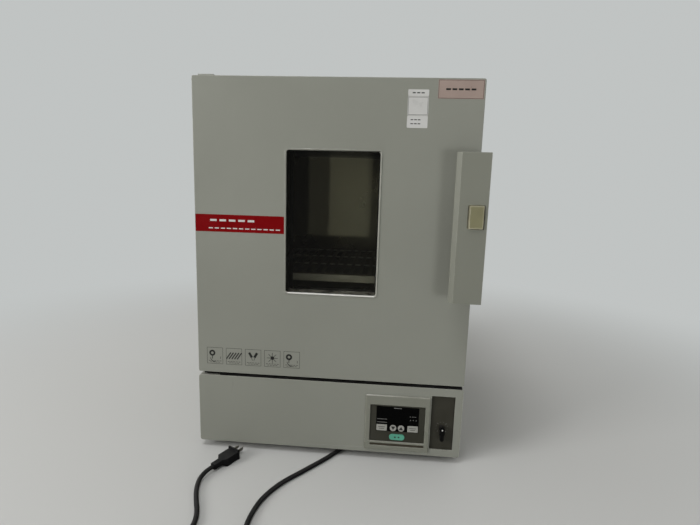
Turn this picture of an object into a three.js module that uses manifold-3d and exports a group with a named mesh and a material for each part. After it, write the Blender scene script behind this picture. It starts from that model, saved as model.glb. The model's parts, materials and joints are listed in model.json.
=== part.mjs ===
// A bench laboratory oven with forced air: one door with a window and a push-button handle,
// and a control panel under the door. Millimetres, +Z up, the door faces -Y, +X is its latch side.
import * as THREE from 'three';
import { mergeVertices } from 'three/addons/utils/BufferGeometryUtils.js';
import Module from 'manifold-3d';

const wasm = await Module();
wasm.setup();

// Driving dimensions
const caseWidth = 580;
const caseDepth = 530;
const footHeight = 12;
const panLip = 4; // how far the base pan shows under the control panel
const panelHeight = 156.5;
const doorGap = 7.5;
const doorHeight = 624;
const doorThickness = 46;
const gasketGap = 11; // between the closed door and the cabinet
const chamberWidth = 450;
const chamberHeight = 450;
const chamberDepth = 450;
const plenumHeight = 50; // air space under the perforated floor
const sheet = 1.5; // painted sheet steel
const thinSheet = 1.2; // stainless sheet
const seat = 0.3; // clearance of a piece that rests on, or fits in, another
const overrun = 4; // how far a cut runs past the face that it opens

// Places that follow from them
const halfCase = caseWidth / 2;
const panelBottom = footHeight + panLip;
const panelTop = panelBottom + panelHeight;
const doorBottom = panelTop + doorGap;
const doorTop = doorBottom + doorHeight;
const doorMiddle = (doorBottom + doorTop) / 2;
const caseFront = doorThickness + gasketGap;
const caseBack = caseFront + caseDepth;

// Finishes
function finish(color, roughness, metalness, extra = {}) {
  return new THREE.MeshStandardMaterial({ color, roughness, metalness, ...extra });
}
const enamel = finish(0x8d8f85, 0.45, 0.1);
const stainless = finish(0xb4b6b4, 0.35, 0.9);
const zinc = finish(0x9fa3a6, 0.45, 0.8);
const blackRubber = finish(0x17181a, 0.8, 0);
const silicone = finish(0xb9b4a6, 0.75, 0);
const wool = finish(0xc9bf9a, 0.95, 0);
const darkPlate = finish(0x3d3c35, 0.6, 0.1);
const blackGloss = finish(0x0b0b0b, 0.15, 0);
const keyGrey = finish(0xa3a49d, 0.5, 0);
const keyGreen = finish(0x5fa58a, 0.5, 0);
const ivory = finish(0x8f8c6c, 0.45, 0);
const blackPlastic = finish(0x121212, 0.5, 0);
const boardGreen = finish(0x2f6a3d, 0.6, 0);
const motorGrey = finish(0x55585a, 0.5, 0.6);
const tintedGlass = finish(0x6d7468, 0.05, 0, { transparent: true, opacity: 0.35 });

// Turns of an extrusion made along +Z: its outline's x and y become the two letters of each name
const outlineToXZ = new THREE.Matrix4().makeRotationX(Math.PI / 2);
const outlineToYZ = new THREE.Matrix4().makeBasis(
  new THREE.Vector3(0, 1, 0),
  new THREE.Vector3(0, 0, 1),
  new THREE.Vector3(1, 0, 0),
);
const cornerSteps = 2;
const roundSides = 24;
const smallSides = 12;

function solid(geometry) {
  geometry.deleteAttribute('normal');
  geometry.deleteAttribute('uv');
  const merged = mergeVertices(geometry);
  const mesh = new wasm.Mesh({
    numProp: 3,
    vertProperties: merged.attributes.position.array,
    triVerts: Uint32Array.from(merged.index.array),
  });
  return new wasm.Manifold(mesh);
}

function joined(...solids) {
  return solids.reduce((sum, next) => sum.add(next));
}

function cut(body, ...tools) {
  return tools.reduce((rest, tool) => rest.subtract(tool), body);
}

function block(x0, x1, y0, y1, z0, z1) {
  const geometry = new THREE.BoxGeometry(x1 - x0, y1 - y0, z1 - z0);
  geometry.translate((x0 + x1) / 2, (y0 + y1) / 2, (z0 + z1) / 2);
  return solid(geometry);
}

function rounded(width, height, radius, x = 0, y = 0) {
  const shape = new THREE.Shape();
  const right = width / 2 - radius;
  const top = height / 2 - radius;
  if (radius === 0) {
    const corners = [[-right, -top], [right, -top], [right, top], [-right, top]];
    return new THREE.Shape(corners.map(([u, v]) => new THREE.Vector2(x + u, y + v)));
  }
  shape.absarc(x + right, y - top, radius, -Math.PI / 2, 0);
  shape.absarc(x + right, y + top, radius, 0, Math.PI / 2);
  shape.absarc(x - right, y + top, radius, Math.PI / 2, Math.PI);
  shape.absarc(x - right, y - top, radius, Math.PI, Math.PI * 3 / 2);
  return shape;
}

function disc(radius, x = 0, y = 0, sides = roundSides) {
  const points = [];
  for (let side = 0; side < sides; side += 1) {
    const angle = 2 * Math.PI * side / sides;
    points.push(new THREE.Vector2(x + radius * Math.cos(angle), y + radius * Math.sin(angle)));
  }
  return new THREE.Shape(points);
}

function outline(points) {
  return new THREE.Shape(points.map(([x, y]) => new THREE.Vector2(x, y)));
}

function extruded(shape, length) {
  const options = { depth: length, bevelEnabled: false, curveSegments: cornerSteps };
  return new THREE.ExtrudeGeometry(shape, options);
}

function alongZ(shape, z0, z1) {
  return solid(extruded(shape, z1 - z0).translate(0, 0, z0));
}

function alongY(shape, y0, y1) {
  return solid(extruded(shape, y1 - y0).translate(0, 0, -y1).applyMatrix4(outlineToXZ));
}

function alongX(shape, x0, x1) {
  return solid(extruded(shape, x1 - x0).translate(0, 0, x0).applyMatrix4(outlineToYZ));
}

// A pan of sheet with its face at yFace and its four walls reaching back to yEdge
function panOf(width, height, corner, wall, yFace, yEdge, z) {
  const back = Math.sign(yEdge - yFace);
  const whole = rounded(width, height, corner, 0, z);
  const outer = alongY(whole, Math.min(yFace, yEdge), Math.max(yFace, yEdge));
  const hollow = rounded(width - 2 * wall, height - 2 * wall, Math.max(corner - wall, 0), 0, z);
  const start = yFace + back * wall;
  const end = yEdge + back * overrun;
  return cut(outer, alongY(hollow, Math.min(start, end), Math.max(start, end)));
}

function tube(points, radius, sides, steps) {
  const path = new THREE.CatmullRomCurve3(points, false, 'centripetal');
  const options = { steps, bevelEnabled: false, extrudePath: path };
  return new THREE.ExtrudeGeometry(disc(radius, 0, 0, sides), options);
}

function surfaceOf(body) {
  const mesh = body.getMesh();
  const geometry = new THREE.BufferGeometry();
  geometry.setAttribute('position', new THREE.BufferAttribute(mesh.vertProperties, 3));
  geometry.setIndex(new THREE.BufferAttribute(mesh.triVerts, 1));
  geometry.computeVertexNormals();
  return geometry;
}

function group(parent, x, y, z) {
  const made = new THREE.Group();
  made.position.set(x, y, z);
  parent.add(made);
  return made;
}

function piece(parent, name, body, material, x = 0, y = 0, z = 0) {
  const geometry = body.isBufferGeometry ? body : surfaceOf(body);
  const mesh = new THREE.Mesh(geometry, material);
  mesh.name = name;
  mesh.position.set(x, y, z);
  parent.add(mesh);
  return mesh;
}

const oven = new THREE.Group();
const work = group(oven, 0, 0, 0); // x from the middle, y from the door's front, z from the bench

// Cabinet: a bent case, a front frame, a rear panel, and a deck over the lower compartment
const caseRise = 0.4; // the case stands this much over the door
const caseCorner = 4;
const caseLip = 15;
const nestedCorner = caseCorner - sheet - seat; // of a pan that fits inside the case or the door
const caseTop = doorTop + caseRise;
const caseVents = 7;
const ventLength = 60;
const ventHeight = 4;
const ventPitch = 12;
const ventLow = 70;
const ventBack = 90; // from the case's back edge
const frameReturn = 15;
const rearReturn = 12;
const panFront = 15;
const panDepth = caseBack - rearReturn - seat - panFront;
const panRim = 33;
const panFrontRim = 10; // lower, to pass under the controller
const panCorner = 6;
const panSlots = 8;
const panSlotWidth = 6;
const panSlotLength = 70;
const panSlotPitch = 18;
const mouthGap = 1;
const frameHalf = halfCase - sheet - seat;
const deckBottom = panelTop + seat;
const deckTop = deckBottom + sheet;
const deckFlange = 12;
const frameBottom = deckTop + seat;
const frameTop = caseTop - sheet - seat;
const linerFront = caseFront + sheet + seat;
const linerHeight = chamberHeight + plenumHeight;
const linerBottom = doorMiddle - linerHeight / 2;
const linerHalf = chamberWidth / 2;
const fanDepth = chamberDepth / 2; // from the liner's front to the fan's axis
const fanY = linerFront + fanDepth;

const cabinet = group(work, 0, 0, 0);

function outerCase() {
  const height = caseTop - panelBottom;
  const middle = panelBottom + height / 2;
  const outer = alongY(rounded(caseWidth, height, caseCorner, 0, middle), caseFront, caseBack);
  const hollow = rounded(caseWidth - 2 * sheet, height - 2 * sheet, caseCorner - sheet, 0, middle);
  const mouth = halfCase - caseLip;
  const tools = [
    alongY(hollow, caseFront - overrun, caseBack + overrun),
    block(-mouth, mouth, caseFront - overrun, caseBack + overrun, panelBottom - overrun, middle),
  ];
  const ventEnd = caseBack - ventBack;
  for (let vent = 0; vent < caseVents; vent += 1) {
    const low = ventLow + vent * ventPitch;
    const reach = halfCase + overrun;
    tools.push(block(-reach, reach, ventEnd - ventLength, ventEnd, low, low + ventHeight));
  }
  return cut(outer, ...tools);
}
piece(cabinet, 'outer_case', outerCase(), enamel);

const frameMiddle = (frameBottom + frameTop) / 2;
const mouthHalf = linerHalf + mouthGap;
const mouthLow = linerBottom - mouthGap;
const mouthHigh = linerBottom + linerHeight + mouthGap;
const frameWidth = 2 * frameHalf;
const frameHeight = frameTop - frameBottom;
const frameBack = caseFront + frameReturn;
piece(cabinet, 'front_frame', cut(
  panOf(frameWidth, frameHeight, nestedCorner, sheet, caseFront, frameBack, frameMiddle),
  block(-mouthHalf, mouthHalf, caseFront - overrun, frameBack, mouthLow, mouthHigh),
), enamel);

const pipeX = 120;
const pipeDrop = 52; // from the chamber's top
const pipeZ = linerBottom + linerHeight - pipeDrop;
const pipeRadius = 18;
const glandInset = 140;
const glandX = halfCase - glandInset;
const glandZ = 90;
const glandRadius = 8;
const louvreCount = 6;
const louvreWidth = 90;
const louvreHeight = 5;
const louvrePitch = 14;
const louvreLow = 60;
const louvreInset = 140;
const louvreX = halfCase - louvreInset;
const rearBottom = panelBottom + sheet + seat;

function rearPanel() {
  const middle = (rearBottom + frameTop) / 2;
  const height = frameTop - rearBottom;
  const pan = panOf(2 * frameHalf, height, nestedCorner, sheet, caseBack, caseBack - rearReturn, middle);
  const from = caseBack - rearReturn;
  const to = caseBack + overrun;
  const tools = [alongY(disc(glandRadius + seat, glandX, glandZ), from, to)];
  for (const side of [-1, 1]) {
    tools.push(alongY(disc(pipeRadius + seat, side * pipeX, pipeZ), from, to));
  }
  for (let row = 0; row < louvreCount; row += 1) {
    const low = louvreLow + row * louvrePitch;
    const left = -louvreX - louvreWidth / 2;
    tools.push(block(left, left + louvreWidth, from, to, low, low + louvreHeight));
  }
  return cut(pan, ...tools);
}
piece(cabinet, 'rear_panel', rearPanel(), enamel);

const panHalf = halfCase - caseLip - seat;
function basePan() {
  const middle = panFront + panDepth / 2;
  const top = footHeight + panRim;
  const outer = alongZ(rounded(2 * panHalf, panDepth, panCorner, 0, middle), footHeight, top);
  const inner = rounded(2 * (panHalf - sheet), panDepth - 2 * sheet, panCorner - sheet, 0, middle);
  const tools = [
    alongZ(inner, footHeight + sheet, top + overrun),
    block(
      -panHalf, panHalf, panFront - overrun, panFront + panCorner,
      footHeight + panFrontRim, top + overrun,
    ),
  ];
  for (let slot = 0; slot < panSlots; slot += 1) {
    const left = (slot - (panSlots - 1) / 2) * panSlotPitch - panSlotWidth / 2;
    const near = middle - panSlotLength / 2;
    const under = footHeight - overrun;
    tools.push(block(left, left + panSlotWidth, near, near + panSlotLength, under, panelBottom));
  }
  return cut(outer, ...tools);
}
piece(cabinet, 'base_pan', basePan(), enamel);

// Rubber feet under the pan's four corners, each with a screw recess
const footRadius = 16;
const footTipRadius = 14;
const footInset = 35; // from the pan's edges
const footRecess = 5;
const footRecessDepth = 4;

function foot() {
  const top = footHeight - seat;
  const profile = [
    [0, footRecessDepth], [footRecess, footRecessDepth], [footRecess, 0],
    [footTipRadius, 0], [footRadius, top], [0, top],
  ];
  return solid(new THREE.LatheGeometry(profile.map(([r, z]) => new THREE.Vector2(r, z)), roundSides)
    .rotateX(Math.PI / 2));
}
for (const [row, y] of [['front', panFront + footInset], ['rear', panFront + panDepth - footInset]]) {
  for (const [side, sign] of [['left', -1], ['right', 1]]) {
    piece(cabinet, `foot_${row}_${side}`, foot(), blackRubber, sign * (panHalf - footInset), y, 0);
  }
}

// Deck plate over the lower compartment, with holes for the fan shaft and the heater's legs
const shaftRadius = 5;
const shaftHole = 12;
const heaterTube = 4.2;
const heaterRing = 106;
const heaterLegX = 18;
const legPlay = 0.8;
const heaterOpening = 0.5; // radians, from the middle of the ring's gap to its start
const heaterTangent = (heaterRing * Math.sin(heaterOpening) - heaterLegX) / Math.cos(heaterOpening);
const heaterLegReach = heaterRing * Math.cos(heaterOpening) + heaterTangent * Math.sin(heaterOpening);
const heaterLegY = fanDepth + heaterLegReach;

function legHoles(radius, z0, z1, yShift) {
  return [-1, 1].map((side) => alongZ(
    disc(radius, side * heaterLegX, heaterLegY + yShift, smallSides), z0, z1,
  ));
}
function deckPlate() {
  const front = caseFront + seat;
  const back = caseBack - rearReturn - seat;
  const plate = block(-frameHalf, frameHalf, front, back, deckBottom, deckTop);
  const flange = block(-frameHalf, frameHalf, front, front + sheet, deckBottom - deckFlange, deckTop);
  return cut(
    joined(plate, flange),
    alongZ(disc(shaftHole, 0, fanY), deckBottom - overrun, deckTop + overrun),
    ...legHoles(heaterTube + legPlay, deckBottom - overrun, deckTop + overrun, linerFront),
  );
}
piece(cabinet, 'deck_plate', deckPlate(), zinc);

// Chamber: a folded stainless box, open to the front, with a flange behind the front frame
const linerFlange = 12;
const probeRadius = 3;
const probeInset = 60;
const probeX = linerHalf - probeInset;
const probeZ = linerHeight - 2 * plenumHeight;
const chamber = group(work, 0, linerFront, linerBottom);
const pipeLocalZ = pipeZ - linerBottom;

function innerChamber() {
  const out = linerHalf + thinSheet;
  const back = chamberDepth + thinSheet;
  const flange = out + linerFlange;
  const low = -thinSheet - linerFlange;
  const high = linerHeight + thinSheet + linerFlange;
  const box = joined(
    block(-out, out, 0, back, -thinSheet, linerHeight + thinSheet),
    block(-flange, flange, 0, thinSheet, low, high),
  );
  const holes = [-1, 1].map((side) => alongY(
    disc(pipeRadius + seat, side * pipeX, pipeLocalZ), chamberDepth - overrun, back + overrun,
  ));
  return cut(
    box,
    block(-linerHalf, linerHalf, -overrun, chamberDepth, 0, linerHeight),
    alongZ(disc(shaftHole, 0, fanDepth), -overrun, overrun),
    alongY(disc(probeRadius + seat, probeX, probeZ, smallSides), chamberDepth - overrun, back + overrun),
    ...holes,
    ...legHoles(heaterTube + legPlay, -overrun, overrun, 0),
  );
}
piece(chamber, 'inner_chamber', innerChamber(), stainless);

// Mineral wool jacket round the chamber, closed at the back
function insulationJacket() {
  const half = frameHalf - sheet - seat;
  const low = frameBottom + sheet + seat - linerBottom;
  const high = frameTop - sheet - seat - linerBottom;
  const back = caseBack - sheet - seat - linerFront;
  const hollow = linerHalf + thinSheet + seat;
  const end = chamberDepth + thinSheet + seat;
  const pipes = [-1, 1].map((side) => alongY(
    disc(pipeRadius + seat, side * pipeX, pipeLocalZ), end - overrun, back + overrun,
  ));
  return cut(
    block(-half, half, thinSheet + seat, back, low, high),
    block(-hollow, hollow, -overrun, end, -thinSheet - seat, linerHeight + thinSheet + seat),
    alongZ(disc(shaftHole, 0, fanDepth), low - overrun, 0),
    alongY(disc(probeRadius + seat, probeX, probeZ, smallSides), end - overrun, back + overrun),
    ...pipes,
    ...legHoles(heaterTube + legPlay, low - overrun, 0, 0),
  );
}
piece(chamber, 'insulation_jacket', insulationJacket(), wool);

// Perforated floor over the fan and heater, standing on its front and rear flanges
const ringShares = [0.22, 0.45, 0.68]; // of the fan wheel's reach
const ringHoles = [6, 12, 18];
const intakeRadius = 5;
const wheelRadius = 84;
const sideSlots = 9;
const sideSlotPitch = 42;
const sideSlotLength = 24;
const sideSlotWidth = 7;
const sideSlotInset = 24;

function floorBaffle() {
  const half = linerHalf - seat;
  const back = chamberDepth - seat;
  const top = plenumHeight;
  const tools = [];
  ringShares.forEach((share, ring) => {
    for (let hole = 0; hole < ringHoles[ring]; hole += 1) {
      const angle = 2 * Math.PI * hole / ringHoles[ring];
      const reach = share * wheelRadius;
      const x = reach * Math.cos(angle);
      const y = fanDepth + reach * Math.sin(angle);
      tools.push(alongZ(disc(intakeRadius, x, y, smallSides), top - overrun, top + overrun));
    }
  });
  for (let slot = 0; slot < sideSlots; slot += 1) {
    const y = fanDepth + (slot - (sideSlots - 1) / 2) * sideSlotPitch;
    for (const side of [-1, 1]) {
      const x = side * (linerHalf - sideSlotInset);
      tools.push(block(
        x - sideSlotWidth / 2, x + sideSlotWidth / 2, y - sideSlotLength / 2, y + sideSlotLength / 2,
        top - overrun, top + overrun,
      ));
    }
  }
  const plate = block(-half, half, sheet, back, top - thinSheet, top);
  const front = block(-half, half, sheet, sheet + thinSheet, seat, top);
  const rear = block(-half, half, back - thinSheet, back, seat, top);
  return cut(joined(plate, front, rear), ...tools);
}
piece(chamber, 'floor_baffle', floorBaffle(), stainless);

// Shelf racks: two uprights and a row of ledges each, standing on the floor
const firstLedgeRise = 6; // of a shelf on the lowest ledge, over the perforated floor
const shelfPitch = 49;
const chamberTopGap = 45; // over the topmost shelf, or more
const ledgeCount = Math.floor((chamberHeight - firstLedgeRise - chamberTopGap) / shelfPitch) + 1;
const lowerShelfLevel = 2; // ledges under the lower shelf
const upperShelfLevel = ledgeCount - 1;
const shelfInset = 19.2; // behind the chamber's front edge
const shelfBackGap = 18.8;
const shelfSideGap = 6;
const shelfLength = chamberDepth - shelfInset - shelfBackGap;
const shelfHalf = linerHalf - shelfSideGap;
const shelfFlange = 16;
const uprightWidth = 20;
const uprightInset = 60; // from the chamber's front and rear
const uprightDepths = [uprightInset, chamberDepth - uprightInset - uprightWidth];
const uprightThickness = 2;
const ledgeWidth = 15;
const ledgeFront = 24;
const ledgeBackGap = 10;
const rackRise = 20; // above the topmost ledge

function ledgeTop(level) {
  return plenumHeight + firstLedgeRise - thinSheet - seat + level * shelfPitch;
}
function shelfRack(side) {
  const outer = side * (linerHalf - seat);
  const inner = outer - side * uprightThickness;
  const tip = outer - side * (uprightThickness + ledgeWidth);
  const top = ledgeTop(ledgeCount - 1) + rackRise;
  const bars = uprightDepths.map((y) => block(
    Math.min(outer, inner), Math.max(outer, inner), y, y + uprightWidth, plenumHeight + seat, top,
  ));
  for (let level = 0; level < ledgeCount; level += 1) {
    const high = ledgeTop(level);
    bars.push(block(
      Math.min(outer, tip), Math.max(outer, tip), ledgeFront, chamberDepth - ledgeBackGap,
      high - sheet, high,
    ));
  }
  return joined(...bars);
}
piece(chamber, 'shelf_rack_left', shelfRack(-1), stainless);
piece(chamber, 'shelf_rack_right', shelfRack(1), stainless);

// Slotted shelves with a front flange and a stiffening bar at the end of each row of slots
const slotPitch = 22;
const slotWidth = 13;
const slotRows = 3;
const slotMargin = 22; // of plain sheet at the shelf's front and rear edges
const slotRowGap = 18;
const slotSideMargin = 28;
const slotColumns = Math.floor((2 * (shelfHalf - slotSideMargin) - slotWidth) / slotPitch) + 1;
const slotRowPitch = (shelfLength - 2 * slotMargin + slotRowGap) / slotRows;
const slotLength = slotRowPitch - slotRowGap;
const barWidth = 6;
const barHeight = 3;

function shelf() {
  const bars = [
    block(-shelfHalf, shelfHalf, 0, shelfLength, 0, thinSheet),
    block(-shelfHalf, shelfHalf, 0, thinSheet, thinSheet - shelfFlange, thinSheet),
  ];
  const tools = [];
  const barHalf = shelfHalf - ledgeWidth;
  for (let row = 0; row < slotRows; row += 1) {
    const near = slotMargin + row * slotRowPitch;
    bars.push(block(
      -barHalf, barHalf, near + slotLength, near + slotLength + barWidth, -barHeight, thinSheet / 2,
    ));
    for (let column = 0; column < slotColumns; column += 1) {
      const x = (column - (slotColumns - 1) / 2) * slotPitch;
      tools.push(block(
        x - slotWidth / 2, x + slotWidth / 2, near, near + slotLength, -overrun, overrun,
      ));
    }
  }
  return cut(joined(...bars), ...tools);
}
for (const [name, level] of [['shelf_lower', lowerShelfLevel], ['shelf_upper', upperShelfLevel]]) {
  piece(chamber, name, shelf(), stainless, 0, shelfInset, ledgeTop(level) + seat);
}

// Temperature probe through the chamber's rear wall
const probeReach = 70;
const probeTail = 60;
piece(chamber, 'temperature_probe', alongY(
  disc(probeRadius, probeX, probeZ, smallSides), chamberDepth - probeReach, chamberDepth + probeTail,
), stainless);

// Heater: one sheathed tube bent to an open ring round the fan, its legs going down through the deck
const heaterZ = 20;
const heaterBend = 18; // from the ring's height down to the leg's straight part
const heaterLegEnd = 12; // under the deck
const heaterArcPoints = 24;
const heaterSteps = 72;
const heaterSides = 8;

function heaterCoil() {
  const legBottom = deckBottom - heaterLegEnd - linerBottom;
  const ringAt = (angle) => new THREE.Vector3(
    heaterRing * Math.sin(angle), fanDepth + heaterRing * Math.cos(angle), heaterZ,
  );
  const legAt = (side, z) => new THREE.Vector3(side * heaterLegX, heaterLegY, z);
  const bendLow = heaterZ - heaterBend;
  const ring = [];
  for (let step = 0; step <= heaterArcPoints; step += 1) {
    ring.push(ringAt(heaterOpening + 2 * (Math.PI - heaterOpening) * step / heaterArcPoints));
  }
  const path = new THREE.CurvePath();
  path.add(new THREE.LineCurve3(legAt(1, legBottom), legAt(1, bendLow)));
  path.add(new THREE.QuadraticBezierCurve3(legAt(1, bendLow), legAt(1, heaterZ), ring[0]));
  path.add(new THREE.CatmullRomCurve3(ring, false, 'centripetal'));
  const last = ring[heaterArcPoints];
  path.add(new THREE.QuadraticBezierCurve3(last, legAt(-1, heaterZ), legAt(-1, bendLow)));
  path.add(new THREE.LineCurve3(legAt(-1, bendLow), legAt(-1, legBottom)));
  const options = { steps: heaterSteps, bevelEnabled: false, extrudePath: path };
  return new THREE.ExtrudeGeometry(disc(heaterTube, 0, 0, heaterSides), options);
}
piece(chamber, 'heater_coil', heaterCoil(), motorGrey);

// Fan: a wheel of straight blades, one with its shaft, driven from under the deck
const bladeCount = 12;
const bladeThickness = 2;
const bladeHeight = 26;
const bladeRootRadius = 34;
const wheelZ = 12;
const wheelPlate = 2;
const hubRadius = 15;
const hubHeight = 18;
const bracketDrop = 32; // from the deck to the bracket's shelf
const bracketHalf = 66;
const bracketFoot = 20;
const bracketThickness = 2;
const bossRadius = 12;
const bossRise = 8;
const motorRadius = 45;
const motorHeight = 70;
const shaftReach = 14; // of the shaft into the motor
const bracketTop = deckBottom - seat;
const bracketShelf = bracketTop - bracketDrop;
const motorTop = bracketShelf - seat;

function fanWheel() {
  const shaftLow = motorTop - shaftReach - linerBottom;
  const parts = [
    alongZ(disc(wheelRadius), wheelZ, wheelZ + wheelPlate),
    alongZ(disc(hubRadius), wheelZ, wheelZ + hubHeight),
    alongZ(disc(shaftRadius, 0, 0, smallSides), shaftLow, wheelZ + wheelPlate),
  ];
  for (let blade = 0; blade < bladeCount; blade += 1) {
    const box = block(
      bladeRootRadius, wheelRadius - bladeThickness, -bladeThickness / 2, bladeThickness / 2,
      wheelZ + wheelPlate / 2, wheelZ + bladeHeight,
    );
    parts.push(box.rotate([0, 0, 360 * blade / bladeCount]));
  }
  return joined(...parts);
}
piece(chamber, 'fan_wheel', fanWheel(), stainless, 0, fanDepth, 0);

const cellar = group(work, 0, fanY, 0);
function motorBracket() {
  const wall = bracketHalf + bracketThickness;
  const half = bracketHalf;
  const wide = wall + bracketFoot;
  const reach = half + overrun;
  const trough = cut(
    block(-wall, wall, -half, half, bracketShelf, bracketTop),
    block(-half, half, -reach, reach, bracketShelf + bracketThickness, bracketTop + overrun),
  );
  const feet = [-1, 1].map((side) => block(
    Math.min(side * half, side * wide), Math.max(side * half, side * wide), -half, half,
    bracketTop - bracketThickness, bracketTop,
  ));
  const hole = alongZ(disc(bossRadius + seat), bracketShelf - overrun, bracketShelf + overrun);
  return cut(joined(trough, ...feet), hole);
}
piece(cellar, 'motor_bracket', motorBracket(), zinc);

const bossTop = motorTop + bracketThickness + bossRise;
piece(cellar, 'fan_motor', cut(
  joined(
    alongZ(disc(motorRadius), motorTop - motorHeight, motorTop),
    alongZ(disc(bossRadius), motorTop - overrun, bossTop),
  ),
  alongZ(disc(shaftRadius + seat, 0, 0, smallSides), motorTop - shaftReach - seat, bossTop + overrun),
), motorGrey);

// Exhaust pipes to the rear, each with a turning shutter over its slotted end
const pipeWall = 1.5;
const pipeInside = 6;
const pipeOut = 26;
const shutterWall = 2;
const shutterDepth = 14;
const shutterRadius = 22;
const shutterGrip = 5;
const shutterGripWidth = 8;
const openingShare = 0.8; // of the pipe's bore
const openingRoot = 4; // between the two openings

function endOpenings(y0, y1, bore) {
  const half = cut(
    alongY(disc(bore * openingShare), y0, y1),
    block(-bore, openingRoot, y0 - overrun, y1 + overrun, -bore, bore),
  );
  const upper = cut(half, block(-bore, bore, y0 - overrun, y1 + overrun, -bore, -bore / 2));
  return cut(upper, block(-bore, bore, y0 - overrun, y1 + overrun, bore / 2, bore));
}
function exhaustPipe() {
  const from = linerFront + chamberDepth - pipeInside - caseBack;
  const bore = pipeRadius - pipeWall;
  return cut(
    alongY(disc(pipeRadius), from, pipeOut),
    alongY(disc(bore), from - overrun, pipeOut - shutterWall),
    endOpenings(pipeOut - shutterWall - overrun, pipeOut + overrun, bore),
  );
}
function exhaustShutter() {
  const end = pipeOut + seat;
  const cup = alongY(disc(shutterRadius), end + shutterWall - shutterDepth, end + shutterWall);
  const grip = block(
    -shutterGripWidth / 2, shutterGripWidth / 2, end, end + shutterWall + shutterGrip,
    -shutterRadius * openingShare, shutterRadius * openingShare,
  );
  return cut(
    joined(
      cut(cup, alongY(disc(pipeRadius + seat), end - shutterDepth - overrun, end)),
      grip,
    ),
    endOpenings(end - overrun, end + shutterWall + overrun, pipeRadius).translate([openingRoot, 0, 0]),
  );
}
for (const [side, sign] of [['left', -1], ['right', 1]]) {
  piece(cabinet, `exhaust_pipe_${side}`, exhaustPipe(), stainless, sign * pipeX, caseBack, pipeZ);
  piece(cabinet, `exhaust_shutter_${side}`, exhaustShutter(), zinc, sign * pipeX, caseBack, pipeZ);
}
const rearReach = caseBack + pipeOut + seat + shutterWall + shutterGrip;

// Solid-state relay on its heat sink, standing in the pan
const sinkWidth = 70;
const sinkDepth = 90;
const sinkBase = 6;
const sinkFins = 7;
const finThickness = 3;
const finHeight = 22;
const relayHeight = 24;
const relayInset = 140;
const relayX = relayInset - halfCase;
const relayY = 180;

function relay() {
  const parts = [
    block(-sinkWidth / 2, sinkWidth / 2, 0, sinkDepth, finHeight, finHeight + sinkBase),
    block(
      -sinkWidth / 3, sinkWidth / 3, sinkDepth / 6, sinkDepth * 5 / 6,
      finHeight, finHeight + sinkBase + relayHeight,
    ),
  ];
  for (let fin = 0; fin < sinkFins; fin += 1) {
    const x = -sinkWidth / 2 + fin * (sinkWidth - finThickness) / (sinkFins - 1);
    parts.push(block(x, x + finThickness, 0, sinkDepth, 0, finHeight + sinkBase / 2));
  }
  return joined(...parts);
}
piece(cabinet, 'solid_state_relay', relay(), zinc, relayX, relayY, footHeight + sheet + seat);

// Hinges: a plate over the door and one under it, each with its pin, 28 mm in from the edge
const hingeInset = 28;
const hingeY = 12;
const hingeWidth = 32;
const hingePlate = 2.5;
const hingeFront = 4;
const hingeReach = 110;
const pinRadius = 5;
const pinLength = 12;
const pinPlay = 0.4;
const hingeX = hingeInset - halfCase;
const lowerPlate = 3;
const lowerLift = 2.5; // above the control panel

function hingeTop() {
  const low = caseTop + seat;
  return joined(
    block(-hingeWidth / 2, hingeWidth / 2, hingeFront - hingeY, hingeReach, low, low + hingePlate),
    alongZ(disc(pinRadius), doorTop - pinLength, low + hingePlate / 2),
  );
}
function hingeBottom() {
  const low = panelTop + lowerLift;
  const reach = caseFront - seat - hingeY;
  return joined(
    block(-hingeWidth / 2, hingeWidth / 2, hingeFront - hingeY, reach, low, low + lowerPlate),
    alongZ(disc(pinRadius), low + lowerPlate / 2, doorBottom + pinLength),
  );
}
piece(cabinet, 'hinge_plate_top', hingeTop(), zinc, hingeX, hingeY, 0);
piece(cabinet, 'hinge_plate_bottom', hingeBottom(), zinc, hingeX, hingeY, 0);

// Control panel: a painted pan under the door, level with its front
const controls = group(work, 0, 0, panelBottom);
const panelCorner = 5;
const panelDepth = caseFront - seat;
const bezelInset = 138; // from the case's side to the bezel's middle
const bezelX = halfCase - bezelInset;
const bezelZ = 71.3;
const bezelWidth = 140;
const bezelHeight = 127.5;
const bezelCorner = 3;
const bezelProud = 3.5;
const bezelLap = 3; // over the panel's hole
const bezelBody = 28;
const bezelWall = 2;
const plateInset = 41;
const plateX = halfCase - plateInset;
const plateZ = 77.8;
const plateWidth = 50;
const plateHeight = 123.5;

function controlPanel() {
  const middle = panelHeight / 2;
  const pan = panOf(caseWidth, panelHeight, panelCorner, sheet, 0, panelDepth, middle);
  const lipHalf = halfCase - caseLip;
  const tuck = 2 * (bezelLap - seat);
  const bezelHole = rounded(bezelWidth - tuck, bezelHeight - tuck, 0, bezelX, bezelZ);
  const plateHole = rounded(plateWidth, plateHeight, 0, plateX, plateZ);
  return cut(
    pan,
    alongY(bezelHole, -overrun, overrun),
    alongY(plateHole, -overrun, overrun),
    block(-lipHalf, lipHalf, panFront - seat, panelDepth + overrun, -overrun, overrun),
  );
}
piece(controls, 'control_panel', controlPanel(), enamel);

// Raised bezel with a dark face, a black display window and five keys
const bezel = group(controls, bezelX, 0, bezelZ);
const screenWidth = 119;
const screenHeight = 85;
const screenX = 0.5;
const screenZ = -0.8;
const screenCorner = 2;
const ledge = 3;
const ledgeThickness = 2.2;
const faceFront = -1;
const faceThickness = 3;
const grooveZ = -50.3;
const grooveHeight = 7;
const grooveDepth = 1;
const faceBack = faceFront + faceThickness;

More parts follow.
